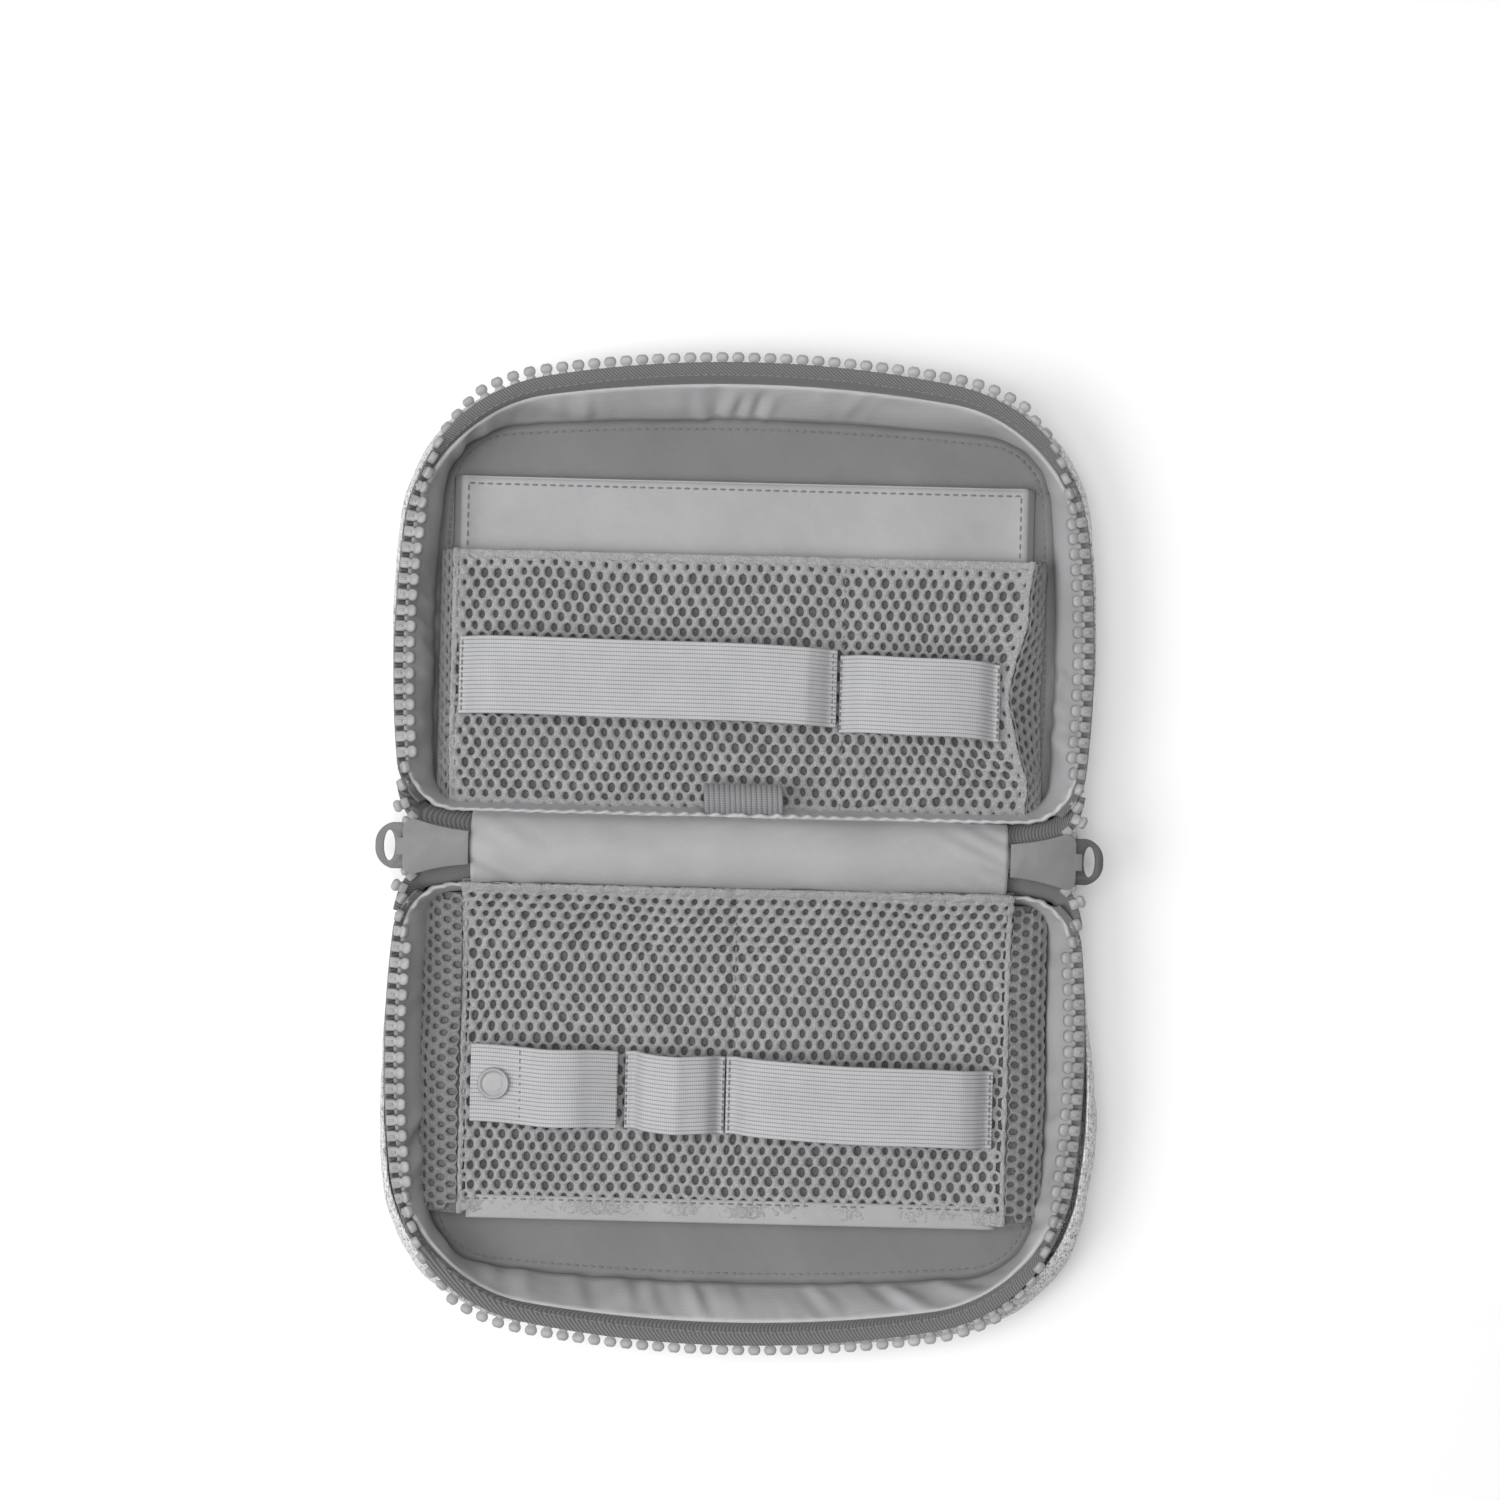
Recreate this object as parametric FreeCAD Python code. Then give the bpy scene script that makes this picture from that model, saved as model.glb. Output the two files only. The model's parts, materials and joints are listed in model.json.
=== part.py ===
"""Soft clamshell cable organizer pouch, lying open on its back.

Row frame, millimetres: +X along the hinge line, +Y from the base half to the lid half, +Z up.
The origin is the middle of the hinge line, at the level of the surface that both halves lie on.
Each half is a shallow padded tray. The two trays meet at a raised spine, whose crest carries the hinge
axis at the height of the zip, so that the lid's zip comes down onto the base's zip when it folds shut.
"""
import FreeCAD
import Part
import math
import os

V = FreeCAD.Vector
BASE, LID = -1, 1            # sign of y for each half
LEFT, RIGHT = -1, 1          # sign of x

# Zip and hinge
ZIP_Z = 28.0                 # height of the zip's middle plane and of the hinge axis
TOOTH_PITCH = 5.06
TOOTH_LENGTH = 6.4
TOOTH_WIDTH = 2.4
TOOTH_NECK = 1.5
TOOTH_DEPTH = 2.4
TOOTH_CLEAR = 0.2            # gap between a tooth's tip and the zip's middle plane
LEAN_SIDE = -74.0            # degrees from upright, inward along the sides
LEAN_FAR = 73.0              # outward along the far edge
LEAN_END = 40.0              # outward beside the spine
TEETH_FROM = 17.0            # distance of the first tooth from the hinge line
TEETH_TURN = 30.0            # where the lean beside the spine has faded out

# Fabric thicknesses
OUTER_T = 1.6
FOAM_T = 2.4
LINING_T = 0.8
TAPE_T = 1.0
MESH_T = 1.8
ELASTIC_T = 1.2
FLOOR_TOP = OUTER_T + FOAM_T + LINING_T
WALL_T = OUTER_T + LINING_T

# Outlines of the tray: the rim, and the belt where the wall meets the floor
WIDEST_Y = 62.0
RIM = dict(half_width=113.6, near=8.2, far=157.0, side_r=280.0, far_r=322.0, corner_r=58.0, near_r=22.0)
BELT = dict(half_width=105.6, near=11.0, far=145.0, side_r=700.0, far_r=900.0, corner_r=27.0, near_r=14.0)
BELT_Z = 6.0
KNEE_Z = 2.0
KNEE_INSET = 1.6
SOLE_INSET = 5.0             # the flat sole lies this far inside the belt
GUSSET_TOP = 22.4
TAPE_TOP = 23.6
SPINE_SIDE_TO = 20.0         # the spine's side wall ends this far from the hinge line

# Spine strip, carried at half the lid's angle
SPINE_HALF = 7.3
SPINE_LENGTH = 170.0
SPINE_CROWN = 1.2

# Pockets: x limits, mouth, near end and height of the front panel's top face. A patch pocket's side seam
# stands outside its front panel by its lean.
BASE_MESH = dict(left=-88.6, right=88.4, mouth=118.5, near=24.0, top=17.0)
BASE_MESH_CREST_Y = 14.2
BASE_MESH_CREST_Z = 24.0
GUSSET_FOOT_LEFT = -100.0
GUSSET_FOOT_RIGHT = 99.0
MOUTH_BINDING = 6.0
SLIP = dict(left=-92.4, right=90.4, mouth=120.0, near=24.5, top=11.2, lean=2.4)
LID_MESH = dict(left=-94.5, right=92.6, mouth=96.0, near=23.4, top=18.6, lean=3.4)
END_WALL_T = 0.8

# Elastic: start, end, distance of its middle from the hinge line, rise above the mesh
ELASTIC_WIDTH = 25.4
SEWN_END = 3.0
BASE_BAND_Y = 75.6
LID_BAND_Y = 55.0
SHORT_BAND_Y = 51.6
SNAP_STRAP = (-85.0, -37.0)
SMALL_LOOP = (-34.2, -3.0)
LARGE_LOOP = (-2.0, 83.4)
LONG_LOOP = (-91.6, 30.0)
SHORT_LOOP = (31.0, 82.5)
BASE_LOOP_RISE = 9.4
STRAP_RISE = 9.0
LID_LOOP_RISE = 7.9
PEN_LOOP = dict(left=-11.8, right=13.6, radius=4.2, wall=0.8, y=17.2, z=19.8)

# Snap fastener
SNAP_X = -77.0
SNAP_R = 5.1
STUD_R = 2.0
SNAP_GAP = 0.15
STUD_FLANGE_T = 0.7
STUD_H = 1.7
SOCKET_T = 2.2
CAP_T = 1.5
WASHER_T = 0.7
STRAP_FLAT_TO = -67.5        # the strap lies flat from its end to here

# Slider and pull
SLIDER_NARROW_X = 86.2
SLIDER_WIDE_X = 107.0
SLIDER_WIDE = 8.8
SLIDER_NARROW = 5.3
SLIDER_SHOULDER_X = 103.6
NOSE_X = 109.0
NOSE_HALF = 2.7
PLATE_T = 1.4
CHAIN_GAP = 3.4
DIAMOND_X = 102.6
FLANGE_T = 0.9
FLANGE_H = 0.7
PULL_BAR_X = 96.0
PULL_BAR_R = 1.0
PULL_T = 2.0
PULL_END_X = 116.4
PULL_HALF = 7.4
PULL_NECK = 5.2
PULL_HOLE_X = 112.0
PULL_HOLE = (1.9, 4.9)       # half sizes of the finger hole, along and across the pull
BRIDGE_HALF = 1.5
BRIDGE_T = 1.2
BRIDGE_FROM = 91.0
BRIDGE_TO = 101.0

# Closed end of the zip, between the slider's plates
STUB_FROM = SPINE_LENGTH / 2
STUB_TO = 100.6
STUB_HALF = 4.0
STOP_LENGTH = 1.8


def half_points(dims, inset):
    """Tangent points and arc centres of the right side of a tray outline, as (x, distance from the hinge)."""
    side_r, far_r = dims["side_r"], dims["far_r"]
    corner_r, near_r = dims["corner_r"], dims["near_r"]
    side_c = (dims["half_width"] - side_r, WIDEST_Y)
    far_c = (0.0, dims["far"] - far_r)
    near_y = dims["near"] + near_r
    near_c = (side_c[0] + math.sqrt((side_r - near_r) ** 2 - (near_y - WIDEST_Y) ** 2), near_y)
    corner_c = circles_meet(side_c, side_r - corner_r, far_c, far_r - corner_r)
    near_end = (near_c[0], dims["near"] + inset)
    near_side = point_towards(side_c, near_c, side_r - inset)
    side_corner = point_towards(side_c, corner_c, side_r - inset)
    corner_far = point_towards(far_c, corner_c, far_r - inset)
    arcs = [
        (near_end, near_side, near_c, near_r - inset),
        (near_side, side_corner, side_c, side_r - inset),
        (side_corner, corner_far, corner_c, corner_r - inset),
    ]
    top = (0.0, dims["far"] - inset)
    return arcs, corner_far, top


def circles_meet(a, ra, b, rb):
    """The meeting point, on the far right, of two circles."""
    dx, dy = b[0] - a[0], b[1] - a[1]
    d = math.hypot(dx, dy)
    along = (ra * ra - rb * rb + d * d) / (2 * d)
    across = math.sqrt(ra * ra - along * along)
    mx, my = a[0] + dx * along / d, a[1] + dy * along / d
    meets = [(mx - dy * across / d, my + dx * across / d), (mx + dy * across / d, my - dx * across / d)]
    return max(meets)


def point_towards(a, b, distance):
    dx, dy = b[0] - a[0], b[1] - a[1]
    d = math.hypot(dx, dy)
    return (a[0] + dx * distance / d, a[1] + dy * distance / d)


def arc_edge(p, q, centre, radius, sign, half, z):
    """A short arc from p to q about centre, mirrored to the wanted side and half."""
    mid = point_towards(centre, ((p[0] + q[0]) / 2, (p[1] + q[1]) / 2), radius)
    a, m, b = [V(sign * t[0], half * t[1], z) for t in (p, mid, q)]
    return Part.Arc(a, m, b).toShape() if sign > 0 else Part.Arc(b, m, a).toShape()


def outline_edges(dims, inset, half, z):
    """Edges from the right end of the near line round to its left end."""
    arcs, corner_far, top = half_points(dims, inset)
    edges = [arc_edge(p, q, c, r, RIGHT, half, z) for p, q, c, r in arcs]
    far_x, far_y = corner_far
    ends = V(far_x, half * far_y, z), V(-far_x, half * far_y, z)
    edges.append(Part.Arc(ends[0], V(0, half * top[1], z), ends[1]).toShape())
    edges += [arc_edge(p, q, c, r, LEFT, half, z) for p, q, c, r in reversed(arcs)]
    return edges


def outline(dims, inset, half, z):
    edges = outline_edges(dims, inset, half, z)
    near_x, near_y = half_points(dims, inset)[0][0][0]
    edges.append(Part.makeLine(V(-near_x, half * near_y, z), V(near_x, half * near_y, z)))
    return Part.Wire(edges)


def rim_dims_at(z):
    """The wall's outline at a height between the belt and the zip."""
    t = (z - BELT_Z) / (ZIP_Z - 1.0 - BELT_Z)
    return {k: BELT[k] + (RIM[k] - BELT[k]) * t for k in RIM}


def loft(wires):
    solid = Part.makeLoft(wires, True, True)
    if solid.Volume < 0:
        solid.reverse()
    return solid


def box(x0, x1, y0, y1, z0, z1):
    """A box between two corners given in any order."""
    low = V(min(x0, x1), min(y0, y1), min(z0, z1))
    return Part.makeBox(abs(x1 - x0), abs(y1 - y0), abs(z1 - z0), low)


def prism_x(points, x0, x1, half):
    """A closed outline of (distance from the hinge, z) points, drawn out along X."""
    loop = [V(x0, half * y, z) for y, z in points]
    face = Part.Face(Part.makePolygon(loop + loop[:1]))
    return face.extrude(V(x1 - x0, 0, 0))


def prism_y(points, y0, y1, half):
    """A closed outline of (x, z) points, drawn out along Y."""
    loop = [V(x, half * y0, z) for x, z in points]
    face = Part.Face(Part.makePolygon(loop + loop[:1]))
    return face.extrude(V(0, half * (y1 - y0), 0))


def cylinder(x, y, z, radius, height):
    return Part.makeCylinder(radius, height, V(x, y, z))


def bowl(half, inset, floor_z):
    """The solid that a tray's wall encloses, from floor_z up to the gusset's top edge."""
    wires = [
        outline(BELT, inset + SOLE_INSET, half, floor_z),
        outline(BELT, inset + KNEE_INSET, half, floor_z + KNEE_Z),
        outline(BELT, inset, half, BELT_Z + floor_z / 2),
        outline(rim_dims_at(GUSSET_TOP), inset, half, GUSSET_TOP),
    ]
    return loft(wires)


def slab(half, z0, z1):
    return box(-150, 150, 0, half * 200, z0, z1)


def tray(half):
    """Outer panel, gusset and spine side, foam, and the two lining pieces of one half."""
    outer = bowl(half, 0.0, 0.0)
    within_outer = bowl(half, OUTER_T, OUTER_T)
    foam_top = OUTER_T + FOAM_T
    hollow = bowl(half, WALL_T, OUTER_T).common(slab(half, FLOOR_TOP, ZIP_Z))
    sole = Part.Face(outline(BELT, SOLE_INSET, half, -1.0)).extrude(V(0, 0, OUTER_T + 1.0))
    shell = outer.cut(within_outer)
    panel = shell.common(sole)
    skirt = shell.cut(sole)
    spine_zone = box(-150, 150, 0, half * SPINE_SIDE_TO, -1, 60)
    floor_zone = Part.Face(outline(BELT, WALL_T + 2.2, half, -1.0)).extrude(V(0, 0, FLOOR_TOP + 1.0))
    lining = within_outer.common(slab(half, foam_top, ZIP_Z)).cut(hollow)
    return {
        "outer_panel": panel,
        "outer_gusset": skirt.cut(spine_zone),
        "spine_side": skirt.common(spine_zone),
        "foam_pad": within_outer.common(slab(half, 0.0, foam_top)),
        "floor_lining": lining.common(floor_zone),
        "wall_lining": lining.cut(floor_zone),
    }


def zip_tape(half):
    """The woven tape that stands on the gusset's edge and carries the teeth."""
    inset = (WALL_T - TAPE_T) / 2

    def skin(depth):
        return loft([outline(rim_dims_at(z), depth, half, z) for z in (GUSSET_TOP, TAPE_TOP)])

    outer, inner = skin(inset), skin(inset + TAPE_T)
    spine_zone = box(-150, 150, 0, half * SPINE_SIDE_TO, -1, 60)
    return outer.cut(inner).cut(spine_zone)


def smooth(t):
    t = min(1.0, max(0.0, t))
    return t * t * (3 - 2 * t)


def tooth_lean(y, normal_y):
    """A tooth's angle from upright, in degrees, outward positive. It differs between the edges."""
    around = math.degrees(math.asin(min(1.0, max(0.0, normal_y))))
    lean = LEAN_SIDE + (LEAN_FAR - LEAN_SIDE) * smooth((around - 8.0) / 52.0)
    near = smooth((TEETH_TURN - y) / (TEETH_TURN - TEETH_FROM))
    return lean + (LEAN_END - lean) * near


def tooth(position, along, outward, lean):
    """One moulded tooth on the tape's edge: a body, a neck and a head, leaning by the given angle.

    An upright tooth is shorter, because every tooth stops just short of the zip's middle plane.
    """
    a = math.radians(lean)
    point = V(0, 0, math.cos(a)) + outward * math.sin(a)
    across = along.cross(point)
    half_rise = TOOTH_DEPTH / 2 * abs(math.sin(a))
    room = ZIP_Z - TOOTH_CLEAR - TAPE_TOP - 2 * half_rise
    length = min(TOOTH_LENGTH, room / math.cos(a))
    root = V(position.x, position.y, TAPE_TOP + half_rise)
    w, n, bevel = TOOTH_WIDTH / 2, TOOTH_NECK / 2, 0.07 * length
    neck, head = 0.55 * length, 0.74 * length
    side = [(w, 0), (w, neck), (n, neck + bevel), (n, head - bevel), (w, head), (w, length - bevel)]
    side.append((w - bevel, length))
    loop = side + [(-u, v) for u, v in reversed(side)]
    corners = [root + along * u + point * v - across * (TOOTH_DEPTH / 2) for u, v in loop]
    face = Part.Face(Part.makePolygon(corners + corners[:1]))
    return face.extrude(across * TOOTH_DEPTH)


def zip_teeth(half):
    """Teeth at an even pitch round the rim. The lid's stand half a pitch along from the base's."""
    rim = Part.Wire(outline_edges(rim_dims_at(TAPE_TOP), WALL_T / 2, half, ZIP_Z))
    fine = rim.discretize(Distance=TOOTH_PITCH / 8)
    start = 2 if half == BASE else 6
    teeth = []
    for i in range(start, len(fine) - 2, 8):
        p = fine[i]
        if abs(p.y) < TEETH_FROM:
            continue
        along = (fine[i + 1] - fine[i - 1]).normalize()
        outward = V(along.y, -along.x, 0)
        if outward.x * p.x + outward.y * (p.y - half * WIDEST_Y) < 0:
            outward = outward * -1
        teeth.append(tooth(p, along, outward, tooth_lean(abs(p.y), outward.y * half)))
    return Part.makeCompound(teeth)


def spine_strip():
    """The crest of the spine: an outer strip and its lining, crowned a little along the middle."""
    half_length = SPINE_LENGTH / 2

    def layer(low, high):
        ends = [V(-half_length, -SPINE_HALF, ZIP_Z + low), V(-half_length, SPINE_HALF, ZIP_Z + low)]
        tops = [V(-half_length, SPINE_HALF, ZIP_Z + high), V(-half_length, -SPINE_HALF, ZIP_Z + high)]
        under = Part.Arc(ends[0], V(-half_length, 0, ZIP_Z + low + SPINE_CROWN), ends[1]).toShape()
        over = Part.Arc(tops[0], V(-half_length, 0, ZIP_Z + high + SPINE_CROWN), tops[1]).toShape()
        sides = [Part.makeLine(ends[1], tops[0]), Part.makeLine(tops[1], ends[0])]
        return Part.Face(Part.Wire([under, sides[0], over, sides[1]])).extrude(V(SPINE_LENGTH, 0, 0))

    return layer(-OUTER_T / 2, OUTER_T / 2), layer(OUTER_T / 2, OUTER_T / 2 + LINING_T)


def base_mesh():
    """Front panel of the base's mesh pocket, its two side gussets and the tape that binds its mouth."""
    m = BASE_MESH
    top, low = m["top"], m["top"] - MESH_T
    front = prism_x(
        [
            (m["mouth"], low), (m["mouth"], top), (m["near"], top),
            (BASE_MESH_CREST_Y, BASE_MESH_CREST_Z), (BASE_MESH_CREST_Y, BASE_MESH_CREST_Z - 2.2),
            (m["near"] - 1.0, low),
        ],
        m["left"], m["right"], BASE,
    )
    near, mouth = m["near"], m["mouth"]

    def gusset(top_x, foot_x):
        outline = [(top_x, low), (top_x + MESH_T, low), (foot_x + MESH_T, FLOOR_TOP), (foot_x, FLOOR_TOP)]
        return prism_y(outline, near, mouth, BASE)

    left = gusset(m["left"], GUSSET_FOOT_LEFT)
    right = gusset(m["right"] - MESH_T, GUSSET_FOOT_RIGHT - MESH_T)
    bound = [BASE * mouth, BASE * (mouth - MOUTH_BINDING)]
    binding = box(m["left"] + MESH_T, m["right"] - MESH_T, *bound, low - LINING_T, low)
    return front, left, right, binding


def patch_pocket(dims, thickness, half):
    """A pocket front sewn to the floor along its sides and near end, open at its mouth."""
    left, right, top, lean = dims["left"], dims["right"], dims["top"], dims["lean"]
    outside = [(left - lean, FLOOR_TOP), (left, top), (right, top), (right + lean, FLOOR_TOP)]
    inside = [
        (right + lean - thickness, FLOOR_TOP), (right - thickness, top - thickness),
        (left + thickness, top - thickness), (left - lean + thickness, FLOOR_TOP),
    ]
    front = prism_y(outside + inside, dims["near"], dims["mouth"], half)
    end = prism_y(outside, dims["near"] - END_WALL_T, dims["near"], half)
    return front.fuse(end).removeSplitter()


def arch(x0, x1, y_middle, z, rise, half):
    """An elastic loop: sewn flat at both ends on height z, and bowed between them."""
    a, b = x0 + SEWN_END, x1 - SEWN_END
    y0, y1 = half * (y_middle - ELASTIC_WIDTH / 2), half * (y_middle + ELASTIC_WIDTH / 2)
    shoulder = min(9.0, (b - a) / 4)

    def line(dz, grow):
        return [
            V(x0, y0, z + dz), V(a - grow, y0, z + dz), V(a + shoulder - grow, y0, z + rise * 0.86 + dz),
            V((a + b) / 2, y0, z + rise + dz), V(b - shoulder + grow, y0, z + rise * 0.86 + dz),
            V(b + grow, y0, z + dz), V(x1, y0, z + dz),
        ]

    low, high = line(0.0, 0.0), line(ELASTIC_T, ELASTIC_T * 0.7)
    edges = [Part.makeLine(low[0], low[1]), Part.makeLine(low[1], low[2])]
    edges.append(Part.Arc(low[2], low[3], low[4]).toShape())
    edges += [Part.makeLine(low[4], low[5]), Part.makeLine(low[5], low[6]), Part.makeLine(low[6], high[6])]
    edges += [Part.makeLine(high[6], high[5]), Part.makeLine(high[5], high[4])]
    edges.append(Part.Arc(high[4], high[3], high[2]).toShape())
    edges += [Part.makeLine(high[2], high[1]), Part.makeLine(high[1], high[0])]
    edges.append(Part.makeLine(high[0], low[0]))
    return Part.Face(Part.Wire(edges)).extrude(V(0, y1 - y0, 0))


def strap_z():
    """Underside of the strap's flat end, which rides on the snap's socket."""
    return BASE_MESH["top"] + STUD_FLANGE_T + SNAP_GAP + SOCKET_T


def snap_strap():
    """The strap that unsnaps: doubled flat end, a bow, and the sewn line that it turns about."""
    x0, x1 = SNAP_STRAP
    y0, y1 = BASE * (BASE_BAND_Y - ELASTIC_WIDTH / 2), BASE * (BASE_BAND_Y + ELASTIC_WIDTH / 2)
    z, low = strap_z(), BASE_MESH["top"] + 0.35
    t = ELASTIC_T
    crown = BASE_MESH["top"] + STRAP_RISE
    bow = (STRAP_FLAT_TO + x1) / 2
    under = [V(STRAP_FLAT_TO, y0, z), V(bow, y0, crown - t), V(x1 - 6.0, y0, crown - 3.6)]
    over = [V(x1 - 5.2, y0, crown - 2.6), V(bow, y0, crown), V(STRAP_FLAT_TO, y0, z + 2 * t)]
    edges = [Part.makeLine(V(x0, y0, z), under[0]), Part.Arc(*under).toShape()]
    edges += [Part.makeLine(under[2], V(x1, y0, low))]
    edges += [Part.makeLine(V(x1, y0, low), V(x1, y0, low + 2 * t))]
    edges += [Part.makeLine(V(x1, y0, low + 2 * t), over[0]), Part.Arc(*over).toShape()]
    edges += [Part.makeLine(over[2], V(x0, y0, z + 2 * t)), Part.makeLine(V(x0, y0, z + 2 * t), V(x0, y0, z))]
    return Part.Face(Part.Wire(edges)).extrude(V(0, y1 - y0, 0))


def snap_parts():
    """Cap and socket on the strap, stud on the mesh and the washer behind it."""
    y, top = BASE * BASE_BAND_Y, BASE_MESH["top"]
    cap = cylinder(SNAP_X, y, strap_z() + 2 * ELASTIC_T, SNAP_R, CAP_T)
    cap = cap.makeFillet(0.9, [e for e in cap.Edges if e.BoundBox.ZMin > strap_z() + 2 * ELASTIC_T + 1.0])
    socket_z = top + STUD_FLANGE_T + SNAP_GAP
    socket = cylinder(SNAP_X, y, socket_z, SNAP_R - 0.4, SOCKET_T)
    socket = socket.cut(cylinder(SNAP_X, y, socket_z - 1, STUD_R + SNAP_GAP, SOCKET_T + 0.4))
    flange_r = SNAP_R - 0.8
    stud = cylinder(SNAP_X, y, top, flange_r, STUD_FLANGE_T).fuse(cylinder(SNAP_X, y, top, STUD_R, STUD_H))
    washer = cylinder(SNAP_X, y, top - MESH_T - WASHER_T, flange_r, WASHER_T)
    return cap, socket, stud.removeSplitter(), washer


def pen_loop():
    """A band round a pen that lies along the spine, with the tab that is sewn to the floor."""
    p = PEN_LOOP
    r = p["radius"]
    start, length = V(p["left"], p["y"], p["z"]), p["right"] - p["left"]
    ring = Part.makeCylinder(r + p["wall"], length, start, V(1, 0, 0))
    tab = box(p["left"], p["right"], p["y"] - 0.6, p["y"] + 0.6, FLOOR_TOP, p["z"] - r)
    return ring.fuse(tab).cut(Part.makeCylinder(r, length, start, V(1, 0, 0))).removeSplitter()


def plate_outline(sign, z):
    """Bell-shaped plate of the slider: narrow towards the spine, wide at its mouth, with a nose."""
    n, w = SLIDER_NARROW, SLIDER_WIDE
    narrow_x, wide_x, shoulder_x = SLIDER_NARROW_X, SLIDER_WIDE_X, SLIDER_SHOULDER_X
    bend_x = (narrow_x + shoulder_x) / 2 - 1.5

    def at(x, y):
        return V(sign * x, y, z)

    edges = [
        Part.makeLine(at(narrow_x, -n), at(narrow_x, n)),
        Part.Arc(at(narrow_x, n), at(bend_x, n + 0.9), at(shoulder_x, w)).toShape(),
        Part.Arc(at(shoulder_x, w), at(wide_x - 0.6, w - 1.3), at(wide_x, w - 3.4)).toShape(),
        Part.makeLine(at(wide_x, w - 3.4), at(wide_x, NOSE_HALF)),
        Part.makeLine(at(wide_x, NOSE_HALF), at(NOSE_X, NOSE_HALF)),
        Part.makeLine(at(NOSE_X, NOSE_HALF), at(NOSE_X, -NOSE_HALF)),
        Part.makeLine(at(NOSE_X, -NOSE_HALF), at(wide_x, -NOSE_HALF)),
        Part.makeLine(at(wide_x, -NOSE_HALF), at(wide_x, -w + 3.4)),
        Part.Arc(at(wide_x, -w + 3.4), at(wide_x - 0.6, -w + 1.3), at(shoulder_x, -w)).toShape(),
        Part.Arc(at(shoulder_x, -w), at(bend_x, -n - 0.9), at(narrow_x, -n)).toShape(),
    ]
    return Part.Face(Part.Wire(edges))


def slider(sign):
    """Two bell-shaped plates joined by a diamond at the mouth, with flanges along the narrow end."""
    half_gap = CHAIN_GAP / 2
    upper = plate_outline(sign, ZIP_Z + half_gap).extrude(V(0, 0, PLATE_T))
    lower = plate_outline(sign, ZIP_Z - half_gap - PLATE_T).extrude(V(0, 0, PLATE_T))
    tip = V(sign * DIAMOND_X, 0, ZIP_Z - half_gap)
    back = [V(sign * (SLIDER_WIDE_X - 0.4), y, ZIP_Z - half_gap) for y in (2.2, -2.2)]
    diamond = Part.Face(Part.makePolygon([tip, *back, tip])).extrude(V(0, 0, CHAIN_GAP))
    flanges = []
    x0, x1 = SLIDER_NARROW_X + 0.1, SLIDER_NARROW_X + 9
    for y in (-SLIDER_NARROW, SLIDER_NARROW - FLANGE_T):
        for z in (ZIP_Z - half_gap, ZIP_Z + half_gap - FLANGE_H):
            flanges.append(box(sign * x0, sign * x1, y, y + FLANGE_T, z, z + FLANGE_H))
    return upper.multiFuse([lower, diamond, *flanges]).removeSplitter()


def bridge(sign):
    """The arch under the lower plate that the pull's bar turns in."""
    plate = ZIP_Z - CHAIN_GAP / 2 - PLATE_T
    drop = 2 * PULL_BAR_R + 0.5
    legs = [box(sign * x, sign * (x + BRIDGE_T), -BRIDGE_HALF, BRIDGE_HALF, plate - drop, plate)
            for x in (BRIDGE_FROM, BRIDGE_TO - BRIDGE_T)]
    ends = [sign * BRIDGE_FROM, sign * BRIDGE_TO]
    crown = box(*ends, -BRIDGE_HALF, BRIDGE_HALF, plate - drop - BRIDGE_T, plate - drop)
    return crown.multiFuse(legs).removeSplitter()


def pull_z():
    return ZIP_Z - CHAIN_GAP / 2 - PLATE_T - PULL_BAR_R - 0.25


def pull(sign):
    """A flat D-shaped tab with a finger hole, whose inner end is a bar that passes through the bridge."""
    z = pull_z()
    start = V(sign * PULL_BAR_X, -PULL_NECK, z)
    bar = Part.makeCylinder(PULL_BAR_R, 2 * PULL_NECK, start, V(0, 1, 0))

    def at(x, y):
        return V(sign * x, y, z - PULL_T / 2)

    neck_x, wide_x, round_x = 104.6, 107.6, 111.0
    edges = [
        Part.makeLine(at(PULL_BAR_X, -PULL_NECK), at(PULL_BAR_X, PULL_NECK)),
        Part.makeLine(at(PULL_BAR_X, PULL_NECK), at(neck_x, PULL_NECK)),
        Part.makeLine(at(neck_x, PULL_NECK), at(wide_x, PULL_HALF)),
        Part.makeLine(at(wide_x, PULL_HALF), at(round_x, PULL_HALF)),
        Part.Arc(at(round_x, PULL_HALF), at(PULL_END_X - 1.5, PULL_HALF - 2.4), at(PULL_END_X, 0)).toShape(),
        Part.Arc(at(PULL_END_X, 0), at(PULL_END_X - 1.5, -PULL_HALF + 2.4), at(round_x, -PULL_HALF)).toShape(),
        Part.makeLine(at(round_x, -PULL_HALF), at(wide_x, -PULL_HALF)),
        Part.makeLine(at(wide_x, -PULL_HALF), at(neck_x, -PULL_NECK)),
        Part.makeLine(at(neck_x, -PULL_NECK), at(PULL_BAR_X, -PULL_NECK)),
    ]
    body = Part.Face(Part.Wire(edges)).extrude(V(0, 0, PULL_T))
    clear = BRIDGE_HALF + 0.4
    window = box(sign * (PULL_BAR_X - 2), sign * (BRIDGE_TO + 1.3), -clear, clear, z - 3, z + 3)
    hole = Part.Ellipse(V(0, 0, 0), PULL_HOLE[1], PULL_HOLE[0])
    hole_face = Part.Face(Part.Wire([hole.toShape()]))
    hole_face.rotate(V(0, 0, 0), V(0, 0, 1), 90)
    hole_face.translate(V(sign * PULL_HOLE_X, 0, z - 3))
    return body.cut(window).cut(hole_face.extrude(V(0, 0, 6))).fuse(bar).removeSplitter()


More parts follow.
